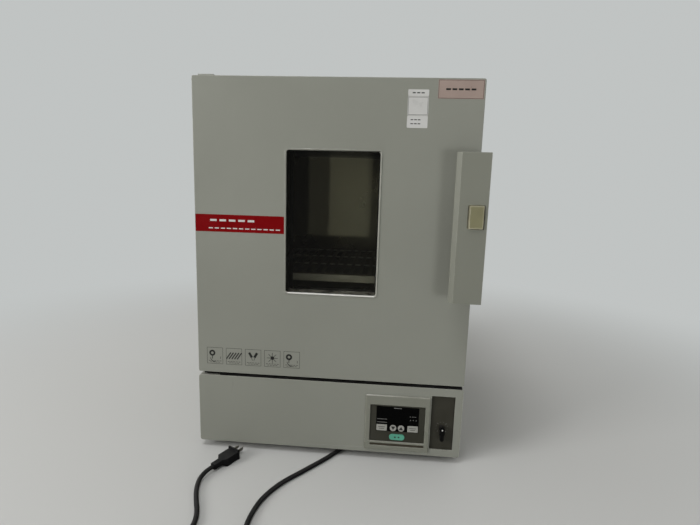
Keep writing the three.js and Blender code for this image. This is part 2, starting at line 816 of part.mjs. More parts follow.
function controlBezel() {
  const flange = alongY(rounded(bezelWidth, bezelHeight, bezelCorner), -bezelProud, -seat);
  const bodyWidth = bezelWidth - 2 * bezelLap;
  const bodyHeight = bezelHeight - 2 * bezelLap;
  const body = alongY(rounded(bodyWidth, bodyHeight, 0), -bezelProud / 2, bezelBody);
  const ledgeBack = faceBack + seat + ledgeThickness;
  const before = -bezelProud - overrun;
  const screen = rounded(screenWidth, screenHeight, screenCorner, screenX, screenZ);
  const opening = rounded(screenWidth - 2 * ledge, screenHeight - 2 * ledge, 0, screenX, screenZ);
  const inside = rounded(bodyWidth - 2 * bezelWall, bodyHeight - 2 * bezelWall, 0);
  const strip = rounded(screenWidth, grooveHeight, 0, screenX, grooveZ);
  return cut(
    joined(flange, body),
    alongY(screen, before, faceBack + seat),
    alongY(opening, 0, bezelBody),
    alongY(inside, ledgeBack, bezelBody + overrun),
    alongY(strip, before, -bezelProud + grooveDepth),
  );
}
piece(bezel, 'control_bezel', controlBezel(), enamel);

const displayX = 0.7;
const displayZ = 9.4;
const displayWidth = 92;
const displayHeight = 57.4;
const displayProud = 0.6;
const sideKeyX = 33.6;
const arrowKeyX = 8.65;
const keyDrop = 20.3; // under the display's middle
const sideKeyWidth = 22.4;
const sideKeyHeight = 14;
const arrowKeyRadius = 7;
const startKeyWidth = 33.4;
const startKeyHeight = 13.6;
const startKeyZ = -32;
const startKeyX = 0.9;
const keyCorner = 1;
const keyTravel = 0.8;
const keyFront = faceFront - displayProud - keyTravel;
const keyFlange = 1;
const keyFlangeThickness = 1;
const keyStem = 2.5;
const keyStemEnd = 8;
const startCorner = 6.7;
const keyRowZ = displayZ - keyDrop;
const arrowKeySize = 2 * arrowKeyRadius;
const keys = [
  ['key_left', displayX - sideKeyX, keyRowZ, sideKeyWidth, sideKeyHeight, keyCorner, keyGrey],
  ['key_down', displayX - arrowKeyX, keyRowZ, arrowKeySize, arrowKeySize, 0, keyGrey],
  ['key_up', displayX + arrowKeyX, keyRowZ, arrowKeySize, arrowKeySize, 0, keyGrey],
  ['key_right', displayX + sideKeyX, keyRowZ, sideKeyWidth, sideKeyHeight, keyCorner, keyGrey],
  ['key_start', startKeyX, startKeyZ, startKeyWidth, startKeyHeight, startCorner, keyGreen],
];

function keyOutline(name, width, height, corner, grow, x = 0, z = 0) {
  const isRound = name === 'key_down' || name === 'key_up';
  return isRound
    ? disc(width / 2 + grow, x, z)
    : rounded(width + 2 * grow, height + 2 * grow, corner, x, z);
}
function keyHoles(names) {
  const found = keys.filter(([name]) => names.includes(name));
  return found.map(([name, x, z, width, height, corner]) => alongY(
    keyOutline(name, width, height, corner, seat, x, z), -bezelProud, faceBack + overrun,
  ));
}
const faceOutline = rounded(
  screenWidth - 2 * seat, screenHeight - 2 * seat, screenCorner, screenX, screenZ,
);
piece(bezel, 'control_face', cut(
  alongY(faceOutline, faceFront, faceBack),
  alongY(rounded(displayWidth, displayHeight, 0, displayX, displayZ), -bezelProud, faceBack + overrun),
  ...keyHoles(['key_start']),
), darkPlate);
piece(bezel, 'display_window', cut(
  alongY(
    rounded(displayWidth - 2 * seat, displayHeight - 2 * seat, 0, displayX, displayZ),
    faceFront - displayProud, faceBack - displayProud,
  ),
  ...keyHoles(['key_left', 'key_down', 'key_up', 'key_right']),
), blackGloss);
for (const [name, x, z, width, height, corner, material] of keys) {
  const flangeFront = faceBack + seat;
  const flangeBack = flangeFront + keyFlangeThickness;
  const key = joined(
    alongY(keyOutline(name, width, height, corner, 0), keyFront, flangeBack),
    alongY(keyOutline(name, width, height, corner, keyFlange), flangeFront, flangeBack),
    alongY(disc(keyStem, 0, 0, smallSides), flangeFront, keyStemEnd),
  );
  piece(bezel, name, key, material, x, 0, z);
}

// Controller board: display block, key switches, and the parts soldered to its back
const boardWidth = 124;
const boardHeight = 112;
const boardFront = 22;
const boardThickness = 1.6;
const moduleHeight = 26;
const moduleWidth = 84;
const moduleZ = 23;
const switchRadius = 3.5;
const backParts = [[-30, 20, 28, 18], [14, 24, 34, 16], [-20, -28, 46, 12], [36, -26, 18, 22]];

function controllerBoard() {
  const front = keyStemEnd + keyTravel + seat;
  const inBoard = boardFront + boardThickness / 2;
  const displayModule = rounded(moduleWidth, moduleHeight, 0, displayX, moduleZ);
  const parts = [
    alongY(rounded(boardWidth, boardHeight, 0), boardFront, boardFront + boardThickness),
    alongY(displayModule, faceBack - displayProud + seat, inBoard),
  ];
  for (const [, x, z] of keys) {
    parts.push(alongY(disc(switchRadius, x, z, smallSides), front, inBoard));
  }
  for (const [x, z, width, depth] of backParts) {
    parts.push(alongY(rounded(width, depth, 0, x, z), inBoard, boardFront + depth));
  }
  return joined(...parts);
}
piece(bezel, 'controller_board', controllerBoard(), boardGreen);

// Dark sunken plate with the pointer knob of the overheat thermostat
const plate = group(controls, plateX, 0, plateZ);
const plateLap = 3.7;
const plateThickness = 4.2;
const plateSink = 4;
const knobX = 0.3;
const knobZ = -11.6;
const knobStem = 4;
const knobPlay = 0.4;
const plateBack = sheet + seat + plateThickness;
const thermostatRadius = 22;
const thermostatDepth = 26;
const stemEnd = 14;

piece(plate, 'switch_plate', cut(
  alongY(rounded(plateWidth + 2 * plateLap, plateHeight + 2 * plateLap, 0), sheet + seat, plateBack),
  alongY(rounded(plateWidth, plateHeight, 0), -overrun, plateSink),
  alongY(disc(knobStem + knobPlay, knobX, knobZ), -overrun, plateBack + overrun),
), darkPlate);
piece(plate, 'thermostat_body', cut(
  alongY(disc(thermostatRadius, knobX, knobZ), plateBack + seat, plateBack + thermostatDepth),
  alongY(disc(knobStem + knobPlay, knobX, knobZ), plateBack, stemEnd + seat),
), zinc);

const knobTop = 7.4;
const knobHalf = 4.8;
const shoulderHalf = 5.4;
const shoulderHigh = -4;
const shoulderLow = -10;
const fingerHalf = 3.9;
const fingerTop = -12.5;
const knobTip = -26;
const knobRound = 2.4;
const knobFront = -9;
const knobBack = -1;
const knobHub = 6;
function dialKnob() {
  const pointer = outline([
    [-knobHalf, shoulderHigh], [-shoulderHalf, shoulderHigh], [-shoulderHalf, shoulderLow],
    [-fingerHalf, fingerTop], [-fingerHalf, knobTip + knobRound], [-fingerHalf + knobRound, knobTip],
    [fingerHalf - knobRound, knobTip], [fingerHalf, knobTip + knobRound], [fingerHalf, fingerTop],
    [shoulderHalf, shoulderLow], [shoulderHalf, shoulderHigh], [knobHalf, shoulderHigh],
    [knobHalf, knobTop - knobHalf], [knobHalf - knobRound, knobTop - knobRound / 2],
    [0, knobTop], [-knobHalf + knobRound, knobTop - knobRound / 2], [-knobHalf, knobTop - knobHalf],
  ]);
  return joined(
    alongY(pointer, knobFront, knobBack),
    alongY(disc(knobHub), knobBack - knobRound, plateSink - seat),
    alongY(disc(knobStem), 0, stemEnd),
  );
}
piece(plate, 'dial_knob', dialKnob(), blackPlastic, knobX, 0, knobZ);

// Door: a front pan, a rear pan inside its walls, wool between, and a double-glazed window
const door = group(work, 0, 0, doorBottom);
const doorCorner = 4;
const windowX = -1;
const windowZ = 335.8;
const windowWidth = 190;
const windowHeight = 293.5;
const windowCorner = 5;
const trimLip = 3.8;
const trimProud = 1.5;
const trimWall = 1.5;
const linerReturn = 13;
const spacerWall = 10;
const paneEdge = 7; // hidden in the spacer's groove
const paneThickness = 4;
const outerPane = 5;
const innerPane = 36.5;
const pinHole = pinRadius + pinPlay;
const doorMid = doorHeight / 2;
const doorBack = doorThickness;

function windowShape(grow, corner = 0) {
  return rounded(windowWidth + 2 * grow, windowHeight + 2 * grow, corner, windowX, windowZ);
}
piece(door, 'door_skin', cut(
  panOf(caseWidth, doorHeight, doorCorner, sheet, 0, doorBack, doorMid),
  alongY(windowShape(trimWall + seat, windowCorner + trimWall), -overrun, overrun),
  alongZ(disc(pinHole, hingeX, hingeY), -overrun, overrun),
  alongZ(disc(pinHole, hingeX, hingeY), doorHeight - overrun, doorHeight + overrun),
), enamel);
const doorLinerHeight = doorHeight - 2 * (sheet + seat);
piece(door, 'door_liner', cut(
  panOf(2 * frameHalf, doorLinerHeight, nestedCorner, sheet, doorBack, doorBack - linerReturn, doorMid),
  alongY(windowShape(0, windowCorner), doorBack - overrun, doorBack + overrun),
), stainless);

function doorInsulation() {
  const half = frameHalf - sheet - seat;
  const low = 2 * (sheet + seat);
  const pocket = pinRadius + overrun;
  const pocketDepth = pinLength + seat;
  return cut(
    block(-half, half, sheet + seat, doorBack - sheet - seat, low, doorHeight - low),
    alongY(windowShape(spacerWall + seat), -overrun, doorBack + overrun),
    alongZ(disc(pocket, hingeX, hingeY), 0, pocketDepth),
    alongZ(disc(pocket, hingeX, hingeY), doorHeight - pocketDepth, doorHeight),
  );
}
piece(door, 'door_insulation', doorInsulation(), wool);

piece(door, 'window_trim', cut(
  joined(
    alongY(windowShape(trimLip, windowCorner + trimLip), -trimProud, -seat),
    alongY(windowShape(trimWall, windowCorner + trimWall), -trimProud / 2, sheet),
  ),
  alongY(windowShape(0, windowCorner), -trimProud - overrun, sheet + overrun),
), enamel);

function groove(y) {
  return alongY(windowShape(paneEdge + seat), y - seat, y + paneThickness + seat);
}
piece(door, 'window_spacer', cut(
  alongY(windowShape(spacerWall), sheet + seat, doorBack - sheet - seat),
  alongY(windowShape(0, windowCorner), -overrun, doorBack + overrun),
  groove(outerPane),
  groove(innerPane),
), darkPlate);
for (const [name, near] of [['outer_glass', outerPane], ['inner_glass', innerPane]]) {
  piece(door, name, alongY(windowShape(paneEdge), near, near + paneThickness), tintedGlass);
}

// Silicone gasket on the door's rear face, pressed against the front frame round the chamber's mouth
const gasketInset = 7;
const gasketWidth = 12;
const gasketCorner = 16;
function doorGasket() {
  const height = mouthHigh - mouthLow;
  const near = doorThickness + seat;
  const far = caseFront - seat;
  const grow = 2 * (gasketInset + gasketWidth);
  const outer = rounded(2 * mouthHalf + grow, height + grow, gasketCorner, 0, doorMid);
  const inner = rounded(
    2 * (mouthHalf + gasketInset), height + 2 * gasketInset, gasketCorner - gasketWidth, 0, doorMid,
  );
  return cut(alongY(outer, near, far), alongY(inner, near - overrun, far + overrun));
}
piece(door, 'door_gasket', doorGasket(), silicone);

// Handle: a tall cover on a bracket, overhanging the door's edge, open behind its left side
const handleWidth = 63;
const handleOverhang = 11;
const handleHeight = 290;
const handleLow = 193;
const handleReach = 50;
const handleBevel = 8;
const handleSheet = 2;
const handleLip = 6;
const handleReturn = 40;
const fingerGap = 20; // between the cover's left edge and the bracket
const handleRight = halfCase + handleOverhang;
const handleLeft = handleRight - handleWidth;
const bracketLeft = handleLeft + fingerGap;
const handleHigh = handleLow + handleHeight;
const coverBack = handleSheet - handleReach;
const buttonInset = 21.5; // from the handle's right edge
const buttonRise = 169.5; // from the handle's low end
const buttonX = handleRight - buttonInset;
const buttonZ = handleLow + buttonRise;
const buttonWidth = 31;
const buttonHeight = 45;
const buttonProud = 3.5;
const buttonDepth = 9.5;
const buttonCorner = 2;
const buttonGap = 0.5;
const buttonFlange = 1.7;
const buttonFlangeThickness = 1.5;
const buttonTravel = 3;

function handleCover() {
  const front = -handleReach;
  const inner = handleSheet * Math.SQRT1_2; // narrows the inside of the bevel
  const section = outline([
    [handleLeft, front + handleBevel + handleLip], [handleLeft, front + handleBevel],
    [handleLeft + handleBevel, front], [handleRight, front], [handleRight, front + handleReturn],
    [handleRight - handleSheet, front + handleReturn], [handleRight - handleSheet, front + handleSheet],
    [handleLeft + handleBevel + inner / 2, front + handleSheet],
    [handleLeft + handleSheet, front + handleBevel + inner / 2],
    [handleLeft + handleSheet, front + handleBevel + handleLip],
  ]);
  const hole = rounded(
    buttonWidth + 2 * buttonGap, buttonHeight + 2 * buttonGap, buttonCorner, buttonX, buttonZ,
  );
  return cut(
    alongZ(section, handleLow, handleHigh),
    alongY(hole, front - overrun, front + overrun),
  );
}
piece(door, 'handle_cover', handleCover(), enamel);

const armHeight = 13;
const armDrop = 16.5; // from the button's middle
const armHigh = buttonZ - armDrop;
const armLow = armHigh - armHeight;
const armPlay = 0.5;
const earThickness = 2.5;
const earDepth = 20;
const armStandOff = 3.5; // of the pivot from the door's side
const armPivotX = halfCase + armStandOff;
const armPivotY = -12;
const armPin = 3;
const armBoss = 5;
const guideRadius = 6.5;
const guideLength = 18;
const stemRadius = 4;
const stemGap = 0.5;
const bracketSheet = 2;
const bracketBackX = halfCase - bracketSheet; // the back plate ends inside the door's edge
const bracketRight = handleRight - handleSheet - seat;
const bracketBackY = -seat - bracketSheet;

function handleBracket() {
  const shell = cut(
    block(bracketLeft, bracketRight, coverBack + seat, -seat, handleLow, handleHigh),
    block(
      bracketLeft + bracketSheet, bracketRight + overrun, coverBack - overrun, bracketBackY,
      handleLow + bracketSheet, handleHigh - bracketSheet,
    ),
    block(
      bracketBackX, bracketRight + overrun, bracketBackY - overrun, overrun,
      handleLow + bracketSheet, handleHigh - bracketSheet,
    ),
  );
  const ears = [armLow - armPlay - earThickness, armHigh + armPlay].map((z) => block(
    bracketLeft + bracketSheet / 2, bracketRight, bracketBackY - earDepth, bracketBackY + seat,
    z, z + earThickness,
  ));
  const earTop = armHigh + armPlay + earThickness;
  const pin = alongZ(
    disc(armPin, armPivotX, armPivotY, smallSides), armLow - armPlay - earThickness, earTop,
  );
  const guideFront = bracketBackY - guideLength;
  const guide = alongY(disc(guideRadius, buttonX, buttonZ), guideFront, bracketBackY + seat);
  const bore = alongY(
    disc(stemRadius + stemGap, buttonX, buttonZ), guideFront - overrun, bracketBackY - overrun,
  );
  return cut(joined(shell, ...ears, pin, guide), bore);
}
piece(door, 'handle_bracket', handleBracket(), zinc);

// Push button with its stem, the rib that pushes the latch arm, and its return spring
const buttonFront = -handleReach - buttonProud;
const buttonBack = buttonFront + buttonDepth;
const stemLength = 28;
const ribWidth = 3;
const ribOffset = 3.5; // from the button's middle
const ribX = buttonX - ribOffset;
const ribGap = 0.4;
const tailHalf = 2;
const tailFront = armPivotY - tailHalf;
const ribHigh = armHigh;
const ribHeight = 5;
const ribLow = ribHigh - ribHeight;

function latchButton() {
  const flangeFront = coverBack + seat;
  const x = buttonX;
  const z = buttonZ;
  return joined(
    alongY(rounded(buttonWidth, buttonHeight, buttonCorner, x, z), buttonFront, buttonBack),
    alongY(
      rounded(buttonWidth + 2 * buttonFlange, buttonHeight + 2 * buttonFlange, buttonCorner, x, z),
      flangeFront, flangeFront + buttonFlangeThickness,
    ),
    alongY(disc(stemRadius, x, z), buttonBack - overrun, buttonBack + stemLength),
    block(
      ribX - ribWidth / 2, ribX + ribWidth / 2, buttonBack - overrun, tailFront - ribGap,
      ribLow, ribHigh,
    ),
  );
}
piece(door, 'latch_button', latchButton(), ivory);

const springTurns = 7;
const springWire = 0.7;
const springRadius = 8;
const springTurnSteps = 8;
const springWireSides = 5;
const springEndGap = 0.6;
function buttonSpring() {
  const from = buttonBack + springWire + springEndGap;
  const to = bracketBackY - springWire - springEndGap;
  const points = [];
  const count = springTurns * springTurnSteps;
  for (let step = 0; step <= count; step += 1) {
    const angle = 2 * Math.PI * step / springTurnSteps;
    points.push(new THREE.Vector3(
      buttonX + springRadius * Math.cos(angle),
      from + (to - from) * step / count,
      buttonZ + springRadius * Math.sin(angle),
    ));
  }
  return tube(points, springWire, springWireSides, count);
}
piece(door, 'button_spring', buttonSpring(), zinc);

// Latch arm round the door's edge, and its keeper on the case. Its lip stops just clear of the keeper.
const armThickness = 3.5;
const armBack = 84;
const armHook = 3.7;
const armGap = 4; // between the door's side and the arm
const armInner = halfCase + armGap;
const tailReach = 8.5; // past the button's middle
const tailLeft = buttonX - tailReach;
const tailThickness = 3.5;
const hookTip = armPivotX;
const keeperTooth = 8;
const keeperLength = 40;
const keeperHeight = 34;
const keeperPlate = 1.5;
const keeperReach = 2.9;

function latchArm() {
  const bossShape = disc(armBoss, armPivotX, armPivotY);
  const body = joined(
    alongZ(bossShape, armLow, armHigh),
    block(tailLeft, armPivotX, tailFront, tailFront + tailThickness, armLow, armHigh),
    block(armInner, armInner + armThickness, armPivotY, armBack, armLow, armHigh),
    block(hookTip, armInner + armThickness / 2, armBack - armHook, armBack, armLow, armHigh),
  );
  return cut(body, alongZ(
    disc(armPin + seat, armPivotX, armPivotY, smallSides), armLow - overrun, armHigh + overrun,
  ));
}
piece(door, 'latch_arm', latchArm(), zinc);

function latchKeeper() {
  const from = halfCase + seat;
  const end = armBack - armHook - seat;
  const middle = (armLow + armHigh) / 2 + doorBottom;
  const z0 = middle - keeperHeight / 2;
  const z1 = middle + keeperHeight / 2;
  return joined(
    block(from, from + keeperPlate, caseFront + seat, caseFront + keeperLength, z0, z1),
    block(from, from + keeperReach, end - keeperTooth, end, armLow + doorBottom, armHigh + doorBottom),
  );
}
piece(cabinet, 'latch_keeper', latchKeeper(), zinc);

// Cable gland at the back, and the lead: along the bench, under the oven, into a coil in front of it,
// and back to its plug at the oven's front left corner. Points are chosen by hand.
const cordRadius = 4.5;
const glandFlange = 14;
const glandFlangeThickness = 4;
const glandBody = 10;
const glandLength = 38;
const glandTip = 6.4;
const glandInside = 12;

function cableGland() {
  const profile = [
    [0, -glandInside], [glandRadius, -glandInside], [glandRadius, seat], [glandFlange, seat],
    [glandFlange, glandFlangeThickness], [glandBody, glandFlangeThickness], [glandBody, glandLength / 3],
    [glandTip, glandLength], [0, glandLength],
  ];
  return solid(new THREE.LatheGeometry(profile.map(([r, y]) => new THREE.Vector2(r, y)), roundSides));
}
piece(cabinet, 'cable_gland', cableGland(), blackRubber, glandX, caseBack, glandZ);

const cord = group(work, 0, 0, 0);
const cordSides = 8;
const cordZ = cordRadius;
const glandEnd = caseBack + glandLength + seat;
const rearCordPoints = [
  [glandX, glandEnd, glandZ], [glandX, glandEnd + 9, glandZ], [glandX, glandEnd + 18, glandZ - 0.5],
  [glandX, glandEnd + 37, glandZ - 6.5], [glandX, glandEnd + 50, glandZ - 20],
  [glandX, glandEnd + 56, glandZ - 38], [glandX - 2.5, glandEnd + 55, glandZ - 56.5],
  [glandX - 11, glandEnd + 53, 16.5], [glandX - 25.5, glandEnd + 49, 6.8],
  [glandX - 43, glandEnd + 39, cordZ], [glandX - 58, glandEnd + 23, cordZ],
  [glandX - 66, glandEnd + 1, cordZ], [82, 600, cordZ], [83, 560, cordZ], [88, 480, cordZ],
  [98, 380, cordZ], [104, 280, cordZ], [97, 190, cordZ], [76, 110, cordZ], [44, 45, cordZ],
  [2, -18, cordZ], [-42, -72, cordZ], [-80, -120, cordZ], [-104, -172, cordZ], [-111, -228, cordZ],
  [-104.5, -280, cordZ], [-100.5, -310, cordZ], [-99.7, -327, cordZ], [-99.7, -331.7, cordZ],
];
const rearCordSteps = 80;
const coilMiddle = 50; // radius at the middle of its turns
const coilTurns = 3.5;
const coilPitch = 9.5;
const coilX = -158;
const coilY = -341;
const coilSides = 6;
const coilTurnSteps = 24;

function coilPath() {
  const rest = coilTurns / 2 * coilPitch;
  const out = coilMiddle + rest / 2;
  const steps = Math.round(coilTurns * coilTurnSteps);
  const low = cordRadius;
  const points = [[out, 2 * cordRadius, low]];
  for (let step = 0; step <= steps; step += 1) {
    const turned = 2 * Math.PI * step / coilTurnSteps;
    const from = Math.abs(step - steps / 2) / coilTurnSteps; // turns away from the reversal
    const radius = out - rest + from * coilPitch;
    const climb = THREE.MathUtils.clamp((step - steps / 2) / (coilTurnSteps / 2), -1 / 2, 1 / 2);
    const height = low + coilPitch * (1 + Math.sin(Math.PI * climb)) / 2;
    points.push([radius * Math.cos(turned), -radius * Math.sin(turned), height]);
  }
  const [x, y, z] = points[points.length - 1];
  points.push([x, y + 2 * cordRadius, z]);
  return points.map((place) => new THREE.Vector3(...place));
}

// A tube through given points, one ring each, for turns that follow a formula
function ringTube(points, radius, sides) {
  const positions = [];
  const indices = [];
  const up = new THREE.Vector3(0, 0, 1);
  points.forEach((point, at) => {
    const before = points[Math.max(at - 1, 0)];
    const after = points[Math.min(at + 1, points.length - 1)];
    const ahead = after.clone().sub(before).normalize();
    const across = ahead.clone().cross(up).normalize();
    const over = across.clone().cross(ahead);
    for (let side = 0; side < sides; side += 1) {
      const angle = 2 * Math.PI * (side + 1 / 2) / sides;
      const ring = point.clone()
        .addScaledVector(across, radius * Math.cos(angle))
        .addScaledVector(over, radius * Math.sin(angle));
      positions.push(ring.x, ring.y, ring.z);
    }
  });
  for (let at = 0; at < points.length - 1; at += 1) {
    for (let side = 0; side < sides; side += 1) {
      const a = at * sides + side;
      const b = at * sides + (side + 1) % sides;
      indices.push(a, a + sides, b, b, a + sides, b + sides);
    }
  }
  const last = (points.length - 1) * sides;
  for (let side = 1; side < sides - 1; side += 1) {
    indices.push(0, side, side + 1);
    indices.push(last, last + side + 1, last + side);
  }
  const geometry = new THREE.BufferGeometry();
  geometry.setAttribute('position', new THREE.Float32BufferAttribute(positions, 3));
  geometry.setIndex(indices);
  return geometry;
}

function leastGap(points, radius) {
  const path = new THREE.CatmullRomCurve3(points, false, 'centripetal');
  const dense = path.getSpacedPoints(points.length * 4);
  let least = Infinity;
  const apart = 6 * radius;
  const spacing = dense[0].distanceTo(dense[1]);
  const skip = Math.ceil(apart / spacing);
  for (let a = 0; a < dense.length; a += 1) {
    for (let b = a + skip; b < dense.length; b += 1) {
      least = Math.min(least, dense[a].distanceTo(dense[b]));
    }
  }
  return least - 2 * radius;
}

function cordTube(points, steps) {
  return tube(points.map((place) => new THREE.Vector3(...place)), cordRadius, cordSides, steps);
}
piece(cord, 'power_cord_rear', cordTube(rearCordPoints, rearCordSteps), blackRubber);

const coilPoints = coilPath();
const coilBody = ringTube(coilPoints, cordRadius, coilSides);
const coil = piece(cord, 'cord_coil', coilBody, blackRubber, coilX, coilY, 0);
console.log(`least gap between the coil's turns: ${leastGap(coilPoints, cordRadius).toFixed(2)} mm`);

const plugX = -228;
const plugY = -88;
const plugTurn = THREE.MathUtils.degToRad(63);
const plugZ = 10;
const coilEnd = coilPoints[coilPoints.length - 1];
const frontCordPoints = [
  [coilX + coilEnd.x, coilY + coilEnd.y + seat, coilEnd.z],
  [coilX + coilEnd.x, coilY + coilEnd.y + cordRadius, coilEnd.z], [-216.7, -320, 13], [-216, -310, 11],
  [-213.5, -296, 7.5], [-209.5, -280, 5.2], [-203, -258, cordZ], [-203.5, -236, cordZ],
  [-210, -212, cordZ], [-221, -188, cordZ], [-232, -163, cordZ], [-239, -140, 5],
  [-240.5, -122, 6.8], [-237, -106.5, 9], [-232.2, -96.2, plugZ], [-228.15, -88.25, plugZ],
];
const frontCordSteps = 32;
piece(cord, 'power_cord_front', cordTube(frontCordPoints, frontCordSteps), blackRubber);

// Moulded three-pin plug: a ribbed strain relief, a grip, two flat blades and a round earth pin
const reliefLength = 20;
const reliefHalf = 6;
const gripLength = 38;
const gripHalf = 14;
const gripHeight = 18;
const gripShoulder = 8;
const faceLength = 4;
const faceHalf = 15;
const bladeLength = 18;
const bladeWidth = 6.3;
const bladeSheet = 1.6;
const bladeSpread = 12.7;
const earthRadius = 2.4;
const earthLength = 21;
const earthDrop = 3.5;
const bladeLift = 4;

function powerPlug() {
  const faceStart = reliefLength + gripLength;
  const faceEnd = faceStart + faceLength;
  const top = outline([
    [0, -reliefHalf], [reliefLength, -reliefHalf], [reliefLength + gripShoulder, -gripHalf],
    [faceStart, -gripHalf], [faceStart, -faceHalf], [faceEnd, -faceHalf], [faceEnd, faceHalf],
    [faceStart, faceHalf], [faceStart, gripHalf], [reliefLength + gripShoulder, gripHalf],
    [reliefLength, reliefHalf], [0, reliefHalf],
  ]);
  const faceHigh = gripHeight + faceLength;
  const reach = faceHalf + overrun;
  const side = outline([
    [-overrun, plugZ - reliefHalf], [reliefLength, plugZ - reliefHalf],
    [reliefLength + gripShoulder, 0], [faceEnd + overrun, 0],
    [faceEnd + overrun, faceHigh], [faceStart, faceHigh],
    [faceStart, gripHeight], [reliefLength + gripShoulder, gripHeight],
    [reliefLength, plugZ + reliefHalf], [-overrun, plugZ + reliefHalf],
  ]);
  const body = alongZ(top, 0, faceHigh).intersect(alongY(side, -reach, reach));
  const blades = [-1, 1].map((sign) => {
    const y = sign * bladeSpread / 2;
    return block(
      faceEnd - faceLength / 2, faceEnd + bladeLength, y - bladeSheet / 2, y + bladeSheet / 2,
      plugZ + bladeLift - bladeWidth / 2, plugZ + bladeLift + bladeWidth / 2,
    );
  });
  const earth = alongX(
    disc(earthRadius, 0, plugZ - earthDrop, smallSides), faceEnd - faceLength / 2, faceEnd + earthLength,
  );
  return joined(body, ...blades, earth);
}
const plug = piece(cord, 'power_plug', powerPlug(), blackPlastic, plugX, plugY, 0);
plug.rotation.z = plugTurn;

// The origin goes to the middle of the oven's base, the lead left out
const frontReach = buttonFront;
work.position.set(-handleOverhang / 2, -(frontReach + rearReach) / 2, 0);
coil.updateMatrix();

export default oven;
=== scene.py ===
"""A laboratory drying oven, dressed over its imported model: stoved enamel, stainless, glass and print."""
import json
import math

import bpy
from mathutils import Matrix, Vector

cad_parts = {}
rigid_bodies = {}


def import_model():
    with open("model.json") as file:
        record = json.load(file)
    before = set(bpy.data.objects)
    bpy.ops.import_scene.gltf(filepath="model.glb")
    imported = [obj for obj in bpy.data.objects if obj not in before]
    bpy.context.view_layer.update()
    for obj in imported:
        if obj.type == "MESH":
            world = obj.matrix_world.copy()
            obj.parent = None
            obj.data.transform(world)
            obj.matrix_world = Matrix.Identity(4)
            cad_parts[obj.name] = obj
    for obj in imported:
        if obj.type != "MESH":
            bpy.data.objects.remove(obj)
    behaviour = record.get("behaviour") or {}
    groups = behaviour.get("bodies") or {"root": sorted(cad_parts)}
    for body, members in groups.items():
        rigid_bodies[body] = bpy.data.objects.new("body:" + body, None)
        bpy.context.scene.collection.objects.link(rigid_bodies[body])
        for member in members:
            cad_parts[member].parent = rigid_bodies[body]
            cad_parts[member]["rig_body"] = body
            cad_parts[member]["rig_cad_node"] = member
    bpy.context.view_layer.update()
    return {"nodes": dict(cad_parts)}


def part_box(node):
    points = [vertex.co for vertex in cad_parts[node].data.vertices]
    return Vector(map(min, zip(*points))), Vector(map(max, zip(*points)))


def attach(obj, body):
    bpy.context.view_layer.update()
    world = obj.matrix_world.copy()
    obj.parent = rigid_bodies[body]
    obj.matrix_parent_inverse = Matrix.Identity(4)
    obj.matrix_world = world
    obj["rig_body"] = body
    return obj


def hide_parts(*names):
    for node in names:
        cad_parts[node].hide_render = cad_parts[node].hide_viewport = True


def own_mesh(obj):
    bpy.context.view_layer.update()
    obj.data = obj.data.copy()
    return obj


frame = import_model()
mm = 0.001

# The oven is looked at from a little right of its middle and from above the door's middle, down and
# slightly to the left, with the camera leaning a touch. Places count in millimetres from the middle
# of the door's face: to the right, into the oven, and up from the bench.
case_low, case_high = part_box("outer_case")
door_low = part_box("door_skin")[0]
middle = (case_low.x + case_high.x) / 2
face = door_low.y
lens_mm, film_mm, camera_spot = 23.51, 36.0, (110.0, -932.4, 593.2)
turn_left, look_down, lean = (math.radians(angle) for angle in (4.3495, 9.4272, 1.6898))


def at(x, y, z):
    return Vector((middle + x * mm, face + y * mm, z * mm))


level = Vector((math.cos(turn_left), math.sin(turn_left), 0))
onward = Vector((-math.sin(turn_left), math.cos(turn_left), 0))
ahead = onward * math.cos(look_down) - Vector((0, 0, math.sin(look_down)))
rise = level.cross(ahead)
right = level * math.cos(lean) + rise * math.sin(lean)
up = rise * math.cos(lean) - level * math.sin(lean)
bpy.ops.object.camera_add()
camera = bpy.context.object
camera.name = "camera"
camera.data.lens = lens_mm
camera.data.sensor_width = film_mm
camera.matrix_world = Matrix.Translation(at(*camera_spot)) @ Matrix((right, up, -ahead)).transposed().to_4x4()
bpy.context.scene.camera = camera
bpy.context.scene.view_settings.view_transform = "Standard"

# A plain pale studio. The camera sees one pale tone all round. The oven itself is lit by a surround
# that is dimmer in front of it, with one brighter patch on the left that the window panes mirror.
pale_tone = (0.53, 0.55, 0.545, 1)
dim_front, light_back = 0.048, 0.56


def add_node(tree, kind, inputs=None, **settings):
    """A shader node with its settings, and values for the inputs that nothing feeds."""
    node = tree.nodes.new(kind)
    for name, value in settings.items():
        setattr(node, name, value)
    for name, value in (inputs or {}).items():
        node.inputs[name].default_value = value
    return node


def math_node(tree, operation, first, second, **settings):
    """One operation on two values, each a socket or a number."""
    node = add_node(tree, "ShaderNodeMath", operation=operation, **settings)
    for socket, value in zip(node.inputs, (first, second)):
        if isinstance(value, (int, float)):
            socket.default_value = value
        else:
            tree.links.new(value, socket)
    return node.outputs[0]


def straight_view(tree):
    """White for a ray from the camera that has met nothing yet, or nothing but clear glass."""
    rays = add_node(tree, "ShaderNodeLightPath").outputs
    bounces = math_node(tree, "ADD", rays["Glossy Depth"], rays["Diffuse Depth"], use_clamp=True)
    unbounced = math_node(tree, "SUBTRACT", 1, bounces)
    through_glass = math_node(tree, "MULTIPLY", rays["Is Transmission Ray"], unbounced)
    return math_node(tree, "MAXIMUM", rays["Is Camera Ray"], through_glass)


def ramp_between(tree, value, start, end, low=0.0, high=1.0):
    """A value's way from one bound to another, clamped."""
    bounds = {"From Min": start, "From Max": end, "To Min": low, "To Max": high}
    ramp = add_node(tree, "ShaderNodeMapRange", bounds)
    tree.links.new(value, ramp.inputs["Value"])
    return ramp.outputs["Result"]


